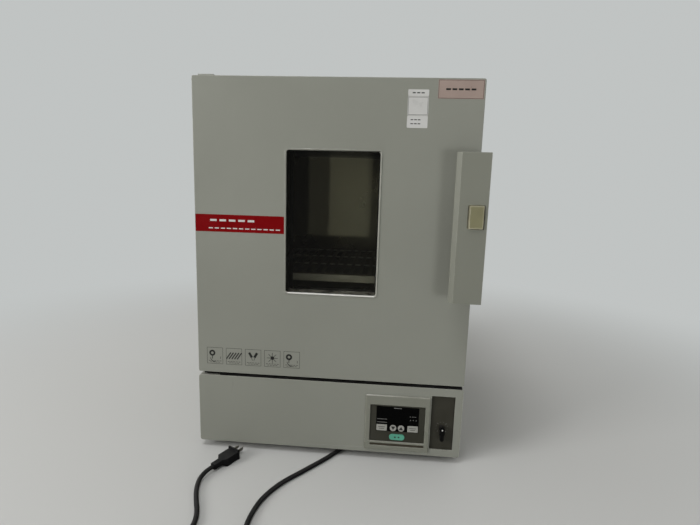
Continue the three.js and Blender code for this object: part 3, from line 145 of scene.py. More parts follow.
def mixed(tree, share, first, second):
    """Two shaders mixed, by a share of the second."""
    mix = add_node(tree, "ShaderNodeMixShader")
    for socket, value in zip(mix.inputs, (share, first, second)):
        tree.links.new(value, socket)
    return mix.outputs[0]


surround = bpy.data.worlds.new("surround")
bpy.context.scene.world = surround
surround.use_nodes = True
tree = surround.node_tree
tree.nodes.clear()
along = add_node(tree, "ShaderNodeSeparateXYZ")
tree.links.new(add_node(tree, "ShaderNodeTexCoord").outputs["Generated"], along.inputs[0])
side, way, tall = (along.outputs[name] for name in "XYZ")
around = ramp_between(tree, way, -0.8, 0.1, dim_front, light_back)
near_step = ramp_between(tree, side, -0.172, -0.164, 0, 0.08)
far_step = ramp_between(tree, side, -0.127, -0.121, 0, 0.21)
patch = math_node(tree, "ADD", near_step, far_step)
for bound in (
    ramp_between(tree, side, -0.0435, -0.041, 1, 0.64),  # its right side, in two steps
    ramp_between(tree, side, -0.036, -0.032, 1, 0.05),
    ramp_between(tree, tall, -0.110, -0.103),  # its foot
    ramp_between(tree, tall, 0.066, 0.060, 0.3, 1),  # its head
    math_node(tree, "LESS_THAN", way, 0),  # only in front of the oven
):
    patch = math_node(tree, "MULTIPLY", patch, bound)
surround_light = add_node(tree, "ShaderNodeBackground", {"Color": (1.0, 0.99, 0.95, 1)})
tree.links.new(around, surround_light.inputs["Strength"])
patch_light = add_node(tree, "ShaderNodeBackground", {"Color": (1.0, 0.98, 0.66, 1)})
tree.links.new(patch, patch_light.inputs["Strength"])
both_lights = add_node(tree, "ShaderNodeAddShader")
tree.links.new(surround_light.outputs[0], both_lights.inputs[0])
tree.links.new(patch_light.outputs[0], both_lights.inputs[1])
seen = add_node(tree, "ShaderNodeBackground", {"Color": pale_tone})
backdrop = mixed(tree, straight_view(tree), both_lights.outputs[0], seen.outputs[0])
tree.links.new(backdrop, add_node(tree, "ShaderNodeOutputWorld").inputs["Surface"])

# The floor is plain and pale, keeps the oven's shadow, and runs out into the surround's tone. Glass
# and polished pieces mirror it as a dark bench, which ends a short way round the oven.
bpy.ops.mesh.primitive_plane_add(size=80, location=(0, 0, 0))
floor = bpy.context.object
floor.name = "floor"
pale_floor = bpy.data.materials.new("pale_floor")
pale_floor.use_nodes = True
tree = pale_floor.node_tree
ground = tree.nodes["Principled BSDF"]
ground.inputs["Roughness"].default_value = 0.85
distance = add_node(tree, "ShaderNodeVectorMath", operation="LENGTH")
tree.links.new(add_node(tree, "ShaderNodeTexCoord").outputs["Object"], distance.inputs[0])
straight = straight_view(tree)
bench_tone, floor_tone = (0.03, 0.03, 0.028, 1), (0.60, 0.606, 0.60, 1)
fade_start, fade_end = 0.5, 2.0
fade_bounds = {"From Min": fade_start, "From Max": fade_end}
away = add_node(tree, "ShaderNodeMapRange", fade_bounds, interpolation_type="SMOOTHSTEP")
tree.links.new(distance.outputs["Value"], away.inputs["Value"])
far_seen = math_node(tree, "MULTIPLY", away.outputs["Result"], straight)
bounced = add_node(tree, "ShaderNodeLightPath").outputs["Is Diffuse Ray"]
lit_as_floor = math_node(tree, "MAXIMUM", straight, bounced)
bench = add_node(tree, "ShaderNodeMix", data_type="RGBA")
tree.links.new(lit_as_floor, bench.inputs[0])
bench.inputs[6].default_value = bench_tone
bench.inputs[7].default_value = floor_tone
tree.links.new(bench.outputs[2], ground.inputs["Base Color"])
haze = add_node(tree, "ShaderNodeEmission", {"Color": pale_tone})
faded = mixed(tree, far_seen, ground.outputs[0], haze.outputs[0])
nothing = add_node(tree, "ShaderNodeBsdfTransparent").outputs[0]
gone = math_node(tree, "MULTIPLY", away.outputs["Result"], math_node(tree, "SUBTRACT", 1, lit_as_floor))
tree.links.new(mixed(tree, gone, faded, nothing), tree.nodes["Material Output"].inputs["Surface"])
floor.data.materials.append(pale_floor)

# Three soft lamps: the main one far out on the left, a weaker one low on the right, one overhead. The
# right one is kept out of reflections, so that the window doesn't mirror it in other views.
oven_middle = Vector((0, 0, 0.45))
for name, place, across, power, tint in (
    ("lamp_left", (-3.3, -2.4, 1.75), 1.6, 77, (1.0, 0.985, 0.955)),
    ("lamp_right", (1.5, -2.5, 0.25), 0.6, 12, (0.985, 0.99, 1.0)),
    ("lamp_top", (-0.5, -1.3, 3.2), 0.9, 26, (1.0, 1.0, 1.0)),
):
    bpy.ops.object.light_add(type="AREA", location=place)
    lamp = bpy.context.object
    lamp.name = name
    lamp.visible_glossy = lamp.visible_transmission = name != "lamp_right"
    lamp.data.shape = "SQUARE"
    lamp.data.size = across
    lamp.data.energy = power
    lamp.data.color = tint
    lamp.rotation_euler = (oven_middle - Vector(place)).to_track_quat("-Z", "Y").to_euler()

# The mains lead: a round black rubber cable, 9 mm thick. It leaves its gland at the back, runs under
# the oven to the front, is put away in a flat coil, and comes back to its plug at the front corner.
lead_radius = 4.5
gland_low, gland_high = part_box("cable_gland")
gland_side = ((gland_low.x + gland_high.x) / 2 - middle) / mm
gland_end = (gland_high.y - face) / mm + 0.3
gland_height = (gland_low.z + gland_high.z) / 2 / mm
drop_route = (  # from the gland's end
    (0, 0, 0), (0, 9, 0), (0, 18, -0.5), (0, 37, -6.5), (0, 50, -20), (0, 56, -38), (-2.5, 55, -56.5),
)
bench_route = (
    (139, 678.3, 16.5), (124.5, 674.3, 6.8), (107, 664.3, 4.5), (92, 648.3, 4.5), (84, 626.3, 4.5),
    (82, 600, 4.5), (83, 560, 4.5), (88, 480, 4.5), (98, 380, 4.5), (104, 280, 4.5), (97, 190, 4.5),
    (76, 110, 4.5), (44, 45, 4.5), (2, -18, 4.5), (-42, -72, 4.5), (-80, -120, 4.5), (-104, -172, 4.5),
    (-111, -228, 4.5), (-104.5, -280, 4.5), (-100.5, -310, 4.5), (-99.7, -327, 4.5), (-99.7, -331.7, 4.5),
)
coil_side, coil_front, coil_middle, coil_turns, coil_pitch, coil_steps = -158, -341, 50, 3.5, 9.5, 24
plug_route = (
    (-216.6, -331.7, 14), (-216.6, -327.5, 14), (-216.7, -320, 13), (-216, -310, 11), (-213.5, -296, 7.5),
    (-209.5, -280, 5.2), (-203, -258, 4.5), (-203.5, -236, 4.5), (-210, -212, 4.5), (-221, -188, 4.5),
    (-232, -163, 4.5), (-239, -140, 5), (-240.5, -122, 6.8), (-237, -106.5, 9), (-232.2, -96.2, 10),
    (-228.15, -88.25, 10),
)


def coil_route():
    """Inwards along the bench, up, and outwards again over the first layer."""
    rest = coil_turns / 2 * coil_pitch
    steps = round(coil_turns * coil_steps)
    for step in range(steps + 1):
        turned = 2 * math.pi * step / coil_steps
        radius = coil_middle - rest / 2 + abs(step - steps / 2) / coil_steps * coil_pitch
        climb = max(-0.5, min(0.5, (step - steps / 2) / (coil_steps / 2)))
        height = lead_radius + coil_pitch * (1 + math.sin(math.pi * climb)) / 2
        yield coil_side + radius * math.cos(turned), coil_front - radius * math.sin(turned), height


def eased_route(points, spacing):
    """Points along a smooth curve through the given ones."""
    ends = [2 * points[0] - points[1], *points, 2 * points[-1] - points[-2]]
    route = [points[0]]
    for a, b, c, d in zip(ends, ends[1:], ends[2:], ends[3:]):
        knots = [0.0]
        for near, far in ((a, b), (b, c), (c, d)):
            knots.append(knots[-1] + math.sqrt((far - near).length))
        count = max(2, round((c - b).length / spacing))
        for step in range(1, count + 1):
            t = knots[1] + (knots[2] - knots[1]) * step / count
            first = a.lerp(b, (t - knots[0]) / (knots[1] - knots[0]))
            second = b.lerp(c, (t - knots[1]) / (knots[2] - knots[1]))
            third = c.lerp(d, (t - knots[2]) / (knots[3] - knots[2]))
            early = first.lerp(second, (t - knots[0]) / (knots[2] - knots[0]))
            late = second.lerp(third, (t - knots[1]) / (knots[3] - knots[1]))
            route.append(early.lerp(late, (t - knots[1]) / (knots[2] - knots[1])))
    return route


def shader_of(finish):
    return finish.node_tree.nodes["Principled BSDF"]


def new_finish(name, slot, color, roughness, metallic=0.0):
    """A material whose colour and gloss start on the shader's own sockets."""
    finish = bpy.data.materials.new(name)
    finish.use_nodes = True
    if slot:
        finish["slot"] = slot
    shader = shader_of(finish)
    shader.inputs["Base Color"].default_value = (*color, 1)
    shader.inputs["Roughness"].default_value = roughness
    shader.inputs["Metallic"].default_value = metallic
    return finish


def new_group(name, inputs, outputs):
    """A shader node group with named sockets: inputs are (name, kind, value), outputs (name, kind)."""
    group = bpy.data.node_groups.new(name, "ShaderNodeTree")
    for socket, kind, value in inputs:
        added = group.interface.new_socket(socket, in_out="INPUT", socket_type=f"NodeSocket{kind}")
        added.default_value = value
    for socket, kind in outputs:
        group.interface.new_socket(socket, in_out="OUTPUT", socket_type=f"NodeSocket{kind}")
    return group, group.nodes.new("NodeGroupInput"), group.nodes.new("NodeGroupOutput")


def noise(tree, size, detail=3, stretch=(1, 1, 1)):
    """Noise on the piece's own coordinates: size counts its ripples in a metre."""
    turned = add_node(tree, "ShaderNodeMapping", {"Scale": stretch})
    tree.links.new(add_node(tree, "ShaderNodeTexCoord").outputs["Object"], turned.inputs["Vector"])
    ripples = add_node(tree, "ShaderNodeTexNoise", {"Detail": detail})
    if isinstance(size, (int, float)):
        ripples.inputs["Scale"].default_value = size
    else:
        tree.links.new(size, ripples.inputs["Scale"])
    tree.links.new(turned.outputs[0], ripples.inputs["Vector"])
    return ripples.outputs[0]


# Handling: broad faint clouds in the colour and the gloss, as on any piece that is wiped and touched.
uneven, given, made = new_group(
    "uneven",
    [
        ("Color", "Color", (0.5, 0.5, 0.5, 1)), ("Roughness", "Float", 0.5),
        ("Depth", "Float", 0.1), ("Size", "Float", 8),
    ],
    [("Color", "Color"), ("Roughness", "Float")],
)
gloss_share = 1.6  # the gloss varies by this many times the colour's depth
clouds = ramp_between(uneven, noise(uneven, given.outputs["Size"], 5), 0.3, 0.7, -1, 1)
deep = math_node(uneven, "MULTIPLY", clouds, given.outputs["Depth"])
scaled = add_node(uneven, "ShaderNodeVectorMath", operation="SCALE")
uneven.links.new(given.outputs["Color"], scaled.inputs[0])
uneven.links.new(math_node(uneven, "ADD", deep, 1), scaled.inputs["Scale"])
uneven.links.new(scaled.outputs[0], made.inputs["Color"])
gloss = math_node(uneven, "MULTIPLY", deep, gloss_share)
gloss = math_node(uneven, "ADD", gloss, given.outputs["Roughness"], use_clamp=True)
uneven.links.new(gloss, made.inputs["Roughness"])

# Dust settles on what faces up, in drifts; a large amount is a painted highlight on those faces.
dust_and_top_light, given, made = new_group("dust_and_top_light", [("Amount", "Float", 0.3)], [("Mask", "Float")])
facing = add_node(dust_and_top_light, "ShaderNodeSeparateXYZ")
dust_and_top_light.links.new(add_node(dust_and_top_light, "ShaderNodeNewGeometry").outputs["Normal"], facing.inputs[0])
upward = ramp_between(dust_and_top_light, facing.outputs["Z"], 0.35, 0.95)
up_patches = ramp_between(dust_and_top_light, noise(dust_and_top_light, 30, 6), 0.3, 0.65)
settled_and_lit = math_node(dust_and_top_light, "MULTIPLY", upward, up_patches)
dust_and_top_light.links.new(math_node(dust_and_top_light, "MULTIPLY", settled_and_lit, given.outputs["Amount"]), made.inputs["Mask"])


def used(tree, group, **values):
    node = add_node(tree, "ShaderNodeGroup", node_tree=group)
    for name, value in values.items():
        node.inputs[name].default_value = value
    return node


def covered(tree, mask, under, over):
    """One plain colour over another where a mask is white."""
    mix = add_node(tree, "ShaderNodeMix", data_type="RGBA")
    mix.inputs[7].default_value = (*over, 1)
    tree.links.new(mask, mix.inputs[0])
    tree.links.new(under, mix.inputs[6])
    return mix.outputs[2]


def laid_over(finish, tone, group, over, **values):
    """One plain colour over a tone, where a group's mask is white."""
    tree = finish.node_tree
    return covered(tree, used(tree, group, **values).outputs[0], tone, over)


def clouded(finish, color, roughness, depth, size):
    """Vary a finish's gloss in soft clouds, and put out its colour, varied in the same clouds."""
    tree = finish.node_tree
    clouds = used(tree, uneven, Color=(*color, 1), Roughness=roughness, Depth=depth, Size=size)
    tree.links.new(clouds.outputs["Roughness"], shader_of(finish).inputs["Roughness"])
    return clouds.outputs["Color"]


def colour_with(finish, tone):
    finish.node_tree.links.new(tone, shader_of(finish).inputs["Base Color"])


def bumped(finish, height, depth):
    """A fine relief over the whole finish, its full height in millimetres."""
    tree = finish.node_tree
    relief = add_node(tree, "ShaderNodeBump", {"Strength": 1, "Distance": depth * mm})
    tree.links.new(height, relief.inputs["Height"])
    tree.links.new(relief.outputs[0], shader_of(finish).inputs["Normal"])


def moulded_finish(name, slot, color, roughness, depth=0.12, size=18, dust_and_top_highlight=0.25, grain=900, relief=0.03):
    """Rubber or plastic straight from its mould: clouded, lightly grained, dusted on top, and a painted
    highlight there where heavy.
    """
    finish = new_finish(name, slot, color, roughness)
    tone = clouded(finish, color, roughness, depth, size)
    colour_with(finish, laid_over(finish, tone, dust_and_top_light, (0.36, 0.35, 0.33), Amount=dust_and_top_highlight))
    bumped(finish, noise(finish.node_tree, grain, 2), relief)
    return finish


def dress(piece, finish):
    """Give its finish to a new piece, or to a CAD node that stays in view."""
    piece.data.materials.clear()
    piece.data.materials.append(finish)


rubber = moulded_finish("black_rubber", "black_rubber", (0.008, 0.008, 0.009), 0.5, dust_and_top_highlight=0.05)
shader_of(rubber).inputs["Specular IOR Level"].default_value = 0.3
lead_points = [at(gland_side + x, gland_end + y, gland_height + z) for x, y, z in drop_route]
lead_points += [at(*place) for place in (*bench_route, *coil_route(), *plug_route)]
lead_route = eased_route(lead_points, 6 * mm)
lead_curve = bpy.data.curves.new("mains_lead", "CURVE")
lead_curve.dimensions = "3D"
lead_curve.bevel_depth = 1
lead_curve.bevel_resolution = 4
line = lead_curve.splines.new("POLY")
line.points.add(len(lead_route) - 1)
for point, place in zip(line.points, lead_route):
    point.co = (*place, 1)
    point.radius = lead_radius * mm
mains_lead = bpy.data.objects.new("mains_lead", lead_curve)
bpy.context.collection.objects.link(mains_lead)
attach(mains_lead, "cabinet")
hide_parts("power_cord_rear", "cord_coil", "power_cord_front")
dress(mains_lead, rubber)

# The coil's tie: a flat black rubber strap, moulded as a closed band with rounded corners. It holds
# the coil's two layers together at its front.
tie_half, tie_sheet, tie_width, tie_corner = 13.3, 0.9, 7, 5


def pick(piece):
    """Make one piece the only one that the next operators act on."""
    bpy.ops.object.select_all(action="DESELECT")
    piece.select_set(True)
    bpy.context.view_layer.objects.active = piece


def close_up():
    """Turn every face of the piece that is being edited outwards, and leave edit mode."""
    bpy.ops.mesh.select_all(action="SELECT")
    bpy.ops.mesh.normals_make_consistent(inside=False)
    bpy.ops.object.mode_set(mode="OBJECT")


def settle(piece, name, body, finish, *nodes):
    """Apply a piece's place to its mesh, and give it its name, body, finish and the nodes it stands for."""
    pick(piece)
    bpy.ops.object.transform_apply(location=True, rotation=True, scale=True)
    piece.name = name
    piece.data.name = name
    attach(piece, body)
    if nodes:
        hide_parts(*nodes)
    dress(piece, finish)
    return piece


tie_tall = 2 * lead_radius + coil_pitch + 1.2
bpy.ops.object.select_all(action="DESELECT")
tie_place = at(coil_side, coil_front - coil_middle, (tie_tall + tie_sheet) / 2)
bpy.ops.mesh.primitive_plane_add(size=1, location=tie_place)
coil_tie = bpy.context.object
coil_tie.rotation_euler = (math.pi / 2, 0, math.pi / 2)
coil_tie.scale = (2 * tie_half * mm, tie_tall * mm, 1)
bpy.ops.object.transform_apply(location=False, rotation=False, scale=True)
bpy.ops.object.mode_set(mode="EDIT")
bpy.ops.mesh.select_all(action="SELECT")
bpy.ops.mesh.bevel(offset=tie_corner * mm, segments=5, affect="VERTICES")
bpy.ops.mesh.delete(type="ONLY_FACE")
bpy.ops.mesh.select_all(action="SELECT")
bpy.ops.mesh.extrude_region_move(TRANSFORM_OT_translate={"value": (tie_width * mm, 0, 0)})
bpy.ops.mesh.select_all(action="SELECT")
bpy.ops.transform.translate(value=(-tie_width / 2 * mm, 0, 0))
close_up()
strap = coil_tie.modifiers.new("strap", "SOLIDIFY")
strap.thickness = tie_sheet * mm
strap.offset = 0
bpy.ops.object.modifier_apply(modifier="strap")
bpy.ops.object.shade_smooth_by_angle(angle=math.radians(35))
settle(coil_tie, "coil_tie", "cabinet", rubber)

# The plug at the lead's end: black rubber moulded round the cable, with a ribbed neck that eases its
# bend, a grip to pull on, and plated blades.
plug_turn, plug_start, plug_height = math.radians(63), (-228, -88), 10
blade_start, rib_radius, rib_thick, rib_pitch = 62.2, 6.1, 0.95, 3.4
plug_way = Vector((math.cos(plug_turn), math.sin(plug_turn), 0))


def copied(node, name, finish):
    """A new piece with a CAD node's shape, its loose triangles merged, that stands in its place."""
    source = frame["nodes"][node]
    piece = bpy.data.objects.new(name, source.data.copy())
    bpy.context.collection.objects.link(piece)
    pick(piece)
    bpy.ops.mesh.customdata_custom_splitnormals_clear()
    bpy.ops.object.mode_set(mode="EDIT")
    bpy.ops.mesh.select_all(action="SELECT")
    bpy.ops.mesh.remove_doubles(threshold=0.002 * mm)
    bpy.ops.mesh.dissolve_limited(angle_limit=math.radians(0.5))
    bpy.ops.object.mode_set(mode="OBJECT")
    return settle(piece, name, source["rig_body"], finish, node)


def ease_edges(piece, width, steps=2, angle=35, chosen=None):
    """Round a piece's sharp edges, or only those that a test picks, each by the share it gives."""
    pick(piece)
    bpy.ops.object.shade_smooth_by_angle(angle=math.radians(angle))
    bevel = piece.modifiers.new("eased", "BEVEL")
    bevel.width = width * mm
    bevel.segments = steps
    bevel.harden_normals = True
    bevel.angle_limit = math.radians(angle)
    if chosen:
        mesh = piece.data
        weights = mesh.attributes.new("bevel_weight_edge", "FLOAT", "EDGE")
        for edge in mesh.edges:
            a, b = (mesh.vertices[i].co for i in edge.vertices)
            weights.data[edge.index].value = float(chosen((a + b) / 2, b - a))
        bevel.limit_method = "WEIGHT"
    bpy.ops.object.modifier_apply(modifier="eased")
    if chosen:
        piece.data.attributes.remove(piece.data.attributes["bevel_weight_edge"])
    bpy.ops.object.shade_smooth_by_angle(angle=math.radians(angle))
    return piece


plug = copied("power_plug", "mains_plug", rubber)
ease_edges(plug, 0.35, 2, 30)


def metal_finish(name, slot, color, roughness, metallic, depth, size):
    """Bare metal, its colour and gloss softly clouded."""
    finish = new_finish(name, slot, color, roughness, metallic)
    colour_with(finish, clouded(finish, color, roughness, depth, size))
    return finish


plated = metal_finish("plated_blades", "zinc", (0.66, 0.64, 0.58), 0.42, 1.0, 0.12, 160)
plug.data.materials.append(plated)
plug_foot = at(*plug_start, plug_height)
for polygon in plug.data.polygons:
    if (polygon.center - plug_foot).dot(plug_way) > blade_start * mm:
        polygon.material_index = 1
ribs = []
for step in range(5):
    bpy.ops.object.select_all(action="DESELECT")
    bpy.ops.mesh.primitive_torus_add(
        major_radius=rib_radius * mm, minor_radius=rib_thick * mm, major_segments=32, minor_segments=8,
        location=plug_foot + plug_way * (2.5 + step * rib_pitch) * mm,
        rotation=plug_way.to_track_quat("Z", "Y").to_euler(),
    )
    bpy.ops.object.shade_smooth()
    ribs.append(bpy.context.object)


def joined(pieces):
    bpy.ops.object.select_all(action="DESELECT")
    for piece in pieces:
        piece.select_set(True)
    bpy.context.view_layer.objects.active = pieces[0]
    if len(pieces) > 1:
        bpy.ops.object.join()
    return bpy.context.object


plug_ribs = settle(joined(ribs), "plug_ribs", "cabinet", rubber)

# Four rubber feet, each moulded with a rounded rim and pressed into the base pan. They hold the oven
# still, and leave a gap under it for the air and the lead.
for row in ("front", "rear"):
    for side in ("left", "right"):
        node = f"foot_{row}_{side}"
        ease_edges(copied(node, f"{node}_rubber", rubber), 1.4, 3)

# The painted shell: a base pan, a one-piece wrap for the sides and top, a front frame and a rear
# panel, all 1.5 mm steel, powder coated in a cool grey with a trace of green and stoved.
coat = (0.272, 0.279, 0.243)
peel_size, peel_depth = 620, 0.010
hair = 0.01 * mm

# Rub: where the surface turns an edge, the coat is thin or gone, in patches.
# On the push button the same mask paints a pale highlight round the rim.
edge_wear_and_rim_light, given, made = new_group(
    "edge_wear_and_rim_light", [("Radius", "Float", 0.001), ("Amount", "Float", 0.3)], [("Mask", "Float")],
)
rounded = add_node(edge_wear_and_rim_light, "ShaderNodeBevel", samples=4)
edge_wear_and_rim_light.links.new(given.outputs["Radius"], rounded.inputs["Radius"])
agree = add_node(edge_wear_and_rim_light, "ShaderNodeVectorMath", operation="DOT_PRODUCT")
edge_wear_and_rim_light.links.new(rounded.outputs[0], agree.inputs[0])
edge_wear_and_rim_light.links.new(add_node(edge_wear_and_rim_light, "ShaderNodeNewGeometry").outputs["Normal"], agree.inputs[1])
edge = ramp_between(edge_wear_and_rim_light, agree.outputs["Value"], 0.995, 0.88)
patchy = ramp_between(edge_wear_and_rim_light, noise(edge_wear_and_rim_light, 55, 4), 0.38, 0.62, 0.15)
worn_and_lit = math_node(edge_wear_and_rim_light, "MULTIPLY", edge, patchy)
edge_wear_and_rim_light.links.new(math_node(edge_wear_and_rim_light, "MULTIPLY", worn_and_lit, given.outputs["Amount"]), made.inputs["Mask"])

# Scuffs: short fine strokes where things have knocked and brushed past.
scuffs, given, made = new_group("scuffs", [("Amount", "Float", 0.3)], [("Mask", "Float")])
strokes = ramp_between(scuffs, noise(scuffs, 60, 2, (1, 1, 0.18)), 0.69, 0.76)
places = ramp_between(scuffs, noise(scuffs, 6, 2), 0.5, 0.62)
few = math_node(scuffs, "MULTIPLY", strokes, places)
scuffs.links.new(math_node(scuffs, "MULTIPLY", few, given.outputs["Amount"]), made.inputs["Mask"])


def enamel_finish(name, color, roughness=0.4, dust_and_top_highlight=0.3):
    """Stoved powder coat: faint clouds, rubbed edges, scuffs, dusting on top (a painted highlight where
    heavy), and a fine orange peel.
    """
    finish = new_finish(name, "enamel", color, roughness)
    pale = tuple(min(1, channel * 1.75 + 0.02) for channel in color)
    tone = clouded(finish, color, roughness, 0.035, 3.5)
    tone = laid_over(finish, tone, edge_wear_and_rim_light, pale, Radius=0.0018, Amount=0.85)
    tone = laid_over(finish, tone, scuffs, (0.08, 0.08, 0.07), Amount=0.16)
    colour_with(finish, laid_over(finish, tone, dust_and_top_light, (0.42, 0.41, 0.38), Amount=dust_and_top_highlight))
    bumped(finish, noise(finish.node_tree, peel_size, 2), peel_depth)
    return finish


enamel = enamel_finish("enamel", coat)


def on_case_rim(place, run):
    """Whether an edge lies along the wrap's front or rear rim."""
    along_rim = min(abs(place.y - case_low.y), abs(place.y - case_high.y)) < hair
    return abs(run.y) < hair and along_rim


ease_edges(copied("outer_case", "case_wrap", enamel), 0.6, 2, 35, on_case_rim)
ease_edges(copied("base_pan", "base_tray", enamel), 0.4)
ease_edges(copied("front_frame", "mouth_frame", enamel), 0.4)
ease_edges(copied("rear_panel", "back_panel", enamel), 0.35)

# Cross-recess screws: zinc-plated pan heads along the case's rear edge, its foot and the rear panel.
# Each stands as its last turn left it.
spangle_size = 140


def zinc_finish(name, color, roughness):
    """Zinc plate: bright, slightly clouded, with a soft crystal pattern and worn edges."""
    finish = new_finish(name, "zinc", color, roughness, 1.0)
    tree = finish.node_tree
    crystal = add_node(tree, "ShaderNodeTexVoronoi", {"Scale": spangle_size})
    tree.links.new(add_node(tree, "ShaderNodeTexCoord").outputs["Object"], crystal.inputs["Vector"])
    spangle = ramp_between(tree, crystal.outputs["Color"], 0, 1, 0, 0.35)
    tone = clouded(finish, color, roughness, 0.1, 26)
    tone = covered(tree, spangle, tone, tuple(0.78 * channel for channel in color))
    colour_with(finish, laid_over(finish, tone, edge_wear_and_rim_light, (0.62, 0.62, 0.60), Radius=0.0008, Amount=0.6))
    bumped(finish, noise(tree, 1500, 2), 0.01)
    return finish


zinc = zinc_finish("zinc", (0.46, 0.47, 0.48), 0.36)


def choose_faces(piece, chosen):
    """Go into edit mode with just the faces selected that a test picks."""
    pick(piece)
    bpy.ops.object.mode_set(mode="EDIT")
    bpy.ops.mesh.select_mode(type="FACE")
    bpy.ops.mesh.select_all(action="DESELECT")
    bpy.ops.object.mode_set(mode="OBJECT")
    for polygon in piece.data.polygons:
        polygon.select = chosen(polygon)
    bpy.ops.object.mode_set(mode="EDIT")


def screw_head(radius, tall):
    """One screw head with a cross recess, standing on the origin."""
    bpy.ops.object.select_all(action="DESELECT")
    bpy.ops.mesh.primitive_cylinder_add(vertices=24, radius=radius, depth=tall, location=(0, 0, tall / 2))
    head = bpy.context.object
    bpy.ops.object.transform_apply(location=True, rotation=False, scale=False)
    choose_faces(head, lambda polygon: polygon.normal.z > 0.9)
    bpy.ops.mesh.bevel(offset=0.75 * tall, segments=4, affect="EDGES")
    bpy.ops.object.mode_set(mode="OBJECT")
    for turn in (0, math.pi / 2):
        bpy.ops.object.select_all(action="DESELECT")
        bpy.ops.mesh.primitive_cube_add(size=1, location=(0, 0, tall), rotation=(0, 0, turn))
        slot_bar = bpy.context.object
        slot_bar.scale = (1.1 * radius, 0.24 * radius, 1.1 * tall)
        pick(head)
        recess = head.modifiers.new("recess", "BOOLEAN")
        recess.object = slot_bar
        recess.operation = "DIFFERENCE"
        bpy.ops.object.modifier_apply(modifier="recess")
        bpy.data.objects.remove(slot_bar)
    pick(head)
    bpy.ops.object.shade_smooth_by_angle(angle=math.radians(40))
    return head


def set_facing(place, way):
    """The placing that stands a piece made up the Z axis on a place, facing a way."""
    return Matrix.Translation(place) @ Vector(way).to_track_quat("Z", "Y").to_matrix().to_4x4()


def drive_screws(name, body, spots, way, radius=3.3, tall=1.7):
    """A set of like screws: each spot is a place in millimetres, way is where their heads face."""
    head = screw_head(radius * mm, tall * mm)
    heads = []
    for count, spot in enumerate(spots):
        screw = bpy.data.objects.new("screw", head.data.copy())
        bpy.context.collection.objects.link(screw)
        screw.matrix_world = set_facing(at(*spot), way) @ Matrix.Rotation(count * 1.1, 4, "Z")
        heads.append(screw)
    bpy.data.objects.remove(head)
    return settle(joined(heads), name, body, zinc)


case_side, side_screw_y, case_back = 290, 574, 587
for side, sign in (("left", -1), ("right", 1)):
    spots = [(sign * case_side, side_screw_y, z) for z in (52, 220, 400, 580, 760)]
    spots += [(sign * case_side, y, 26) for y in (110, 260, 410)]
    drive_screws(f"side_screws_{side}", "cabinet", spots, (sign, 0, 0))
rear_spots = [(x, case_back, z) for x in (-276, 276) for z in (40, 230, 410, 590, 780)]
rear_spots += [(x, case_back, z) for x in (-140, 0, 140) for z in (32, 790)]
drive_screws("back_screws", "cabinet", rear_spots, (0, 1, 0))

# The works under the chamber: a galvanised deck, a fan motor on its bracket, and a relay. The deck
# and bracket are bent sheet, the motor's case is die cast and painted grey.
for node, name, width in (
    ("deck_plate", "deck_sheet", 0.3), ("motor_bracket", "motor_bridge", 0.4),
    ("solid_state_relay", "relay_case", 0.5),
):
    ease_edges(copied(node, name, zinc), width)
cast_grey = moulded_finish("motor", "motor", (0.085, 0.09, 0.095), 0.5, 0.14, 30, 0.4, 1600, 0.06)
ease_edges(copied("fan_motor", "motor_case", cast_grey), 0.8, 3)

# The chamber: a seamed stainless box with a perforated false floor, ladder racks and two slotted
# shelves. Brushed sheet, turned a little straw by years of heat.
steel = (0.50, 0.495, 0.47)
brushed, given, made = new_group(
    "brushed", [("Ripples", "Vector", (20, 900, 900))], [("Tone", "Float"), ("Height", "Float")],
)
drawn = add_node(brushed, "ShaderNodeVectorMath", operation="MULTIPLY")
brushed.links.new(add_node(brushed, "ShaderNodeTexCoord").outputs["Object"], drawn.inputs[0])
brushed.links.new(given.outputs["Ripples"], drawn.inputs[1])
lines = add_node(brushed, "ShaderNodeTexNoise", {"Scale": 1, "Detail": 3})
brushed.links.new(drawn.outputs[0], lines.inputs["Vector"])
brushed.links.new(ramp_between(brushed, lines.outputs[0], 0.3, 0.7), made.inputs["Tone"])
brushed.links.new(lines.outputs[0], made.inputs["Height"])


def stainless_finish(name, ripples, temper, roughness=0.3):
    """Brushed stainless: fine lines one way, softly clouded, with a straw bloom from heat."""
    finish = new_finish(name, "stainless", steel, roughness, 1.0)
    tree = finish.node_tree
    fine = used(tree, brushed, Ripples=ripples)
    dark_line = ramp_between(tree, fine.outputs["Tone"], 0, 1, 0, 0.3)
    bloom = ramp_between(tree, noise(tree, 5, 2), 0.36, 0.74, 0, temper)
    tone = clouded(finish, steel, roughness, 0.03, 9)
    tone = covered(tree, dark_line, tone, tuple(0.7 * channel for channel in steel))
    tone = covered(tree, bloom, tone, (0.50, 0.40, 0.24))
    colour_with(finish, laid_over(finish, tone, edge_wear_and_rim_light, (0.75, 0.75, 0.73), Radius=0.0008, Amount=0.5))
    bumped(finish, fine.outputs["Height"], 0.012)
    return finish


chamber_steel = stainless_finish("stainless_chamber", (12, 900, 900), 0.4, 0.3)
shelf_steel = stainless_finish("stainless_shelf", (10, 700, 700), 0.25, 0.42)
for node in ("inner_chamber", "floor_baffle", "shelf_rack_left", "shelf_rack_right"):
    dress(frame["nodes"][node], chamber_steel)
rim_steel = metal_finish("shelf_rim", "stainless", (0.42, 0.415, 0.39), 0.5, 0.35, 0.1, 60)
for node in ("shelf_lower", "shelf_upper"):
    shelf = copied(node, f"{node}_sheet", shelf_steel)
    shelf.data.materials.append(rim_steel)
    for polygon in shelf.data.polygons:
        polygon.material_index = int(polygon.normal.y < -0.9)
    ease_edges(shelf, 0.3, 1)
ease_edges(copied("temperature_probe", "probe_sheath", shelf_steel), 1.2, 3)

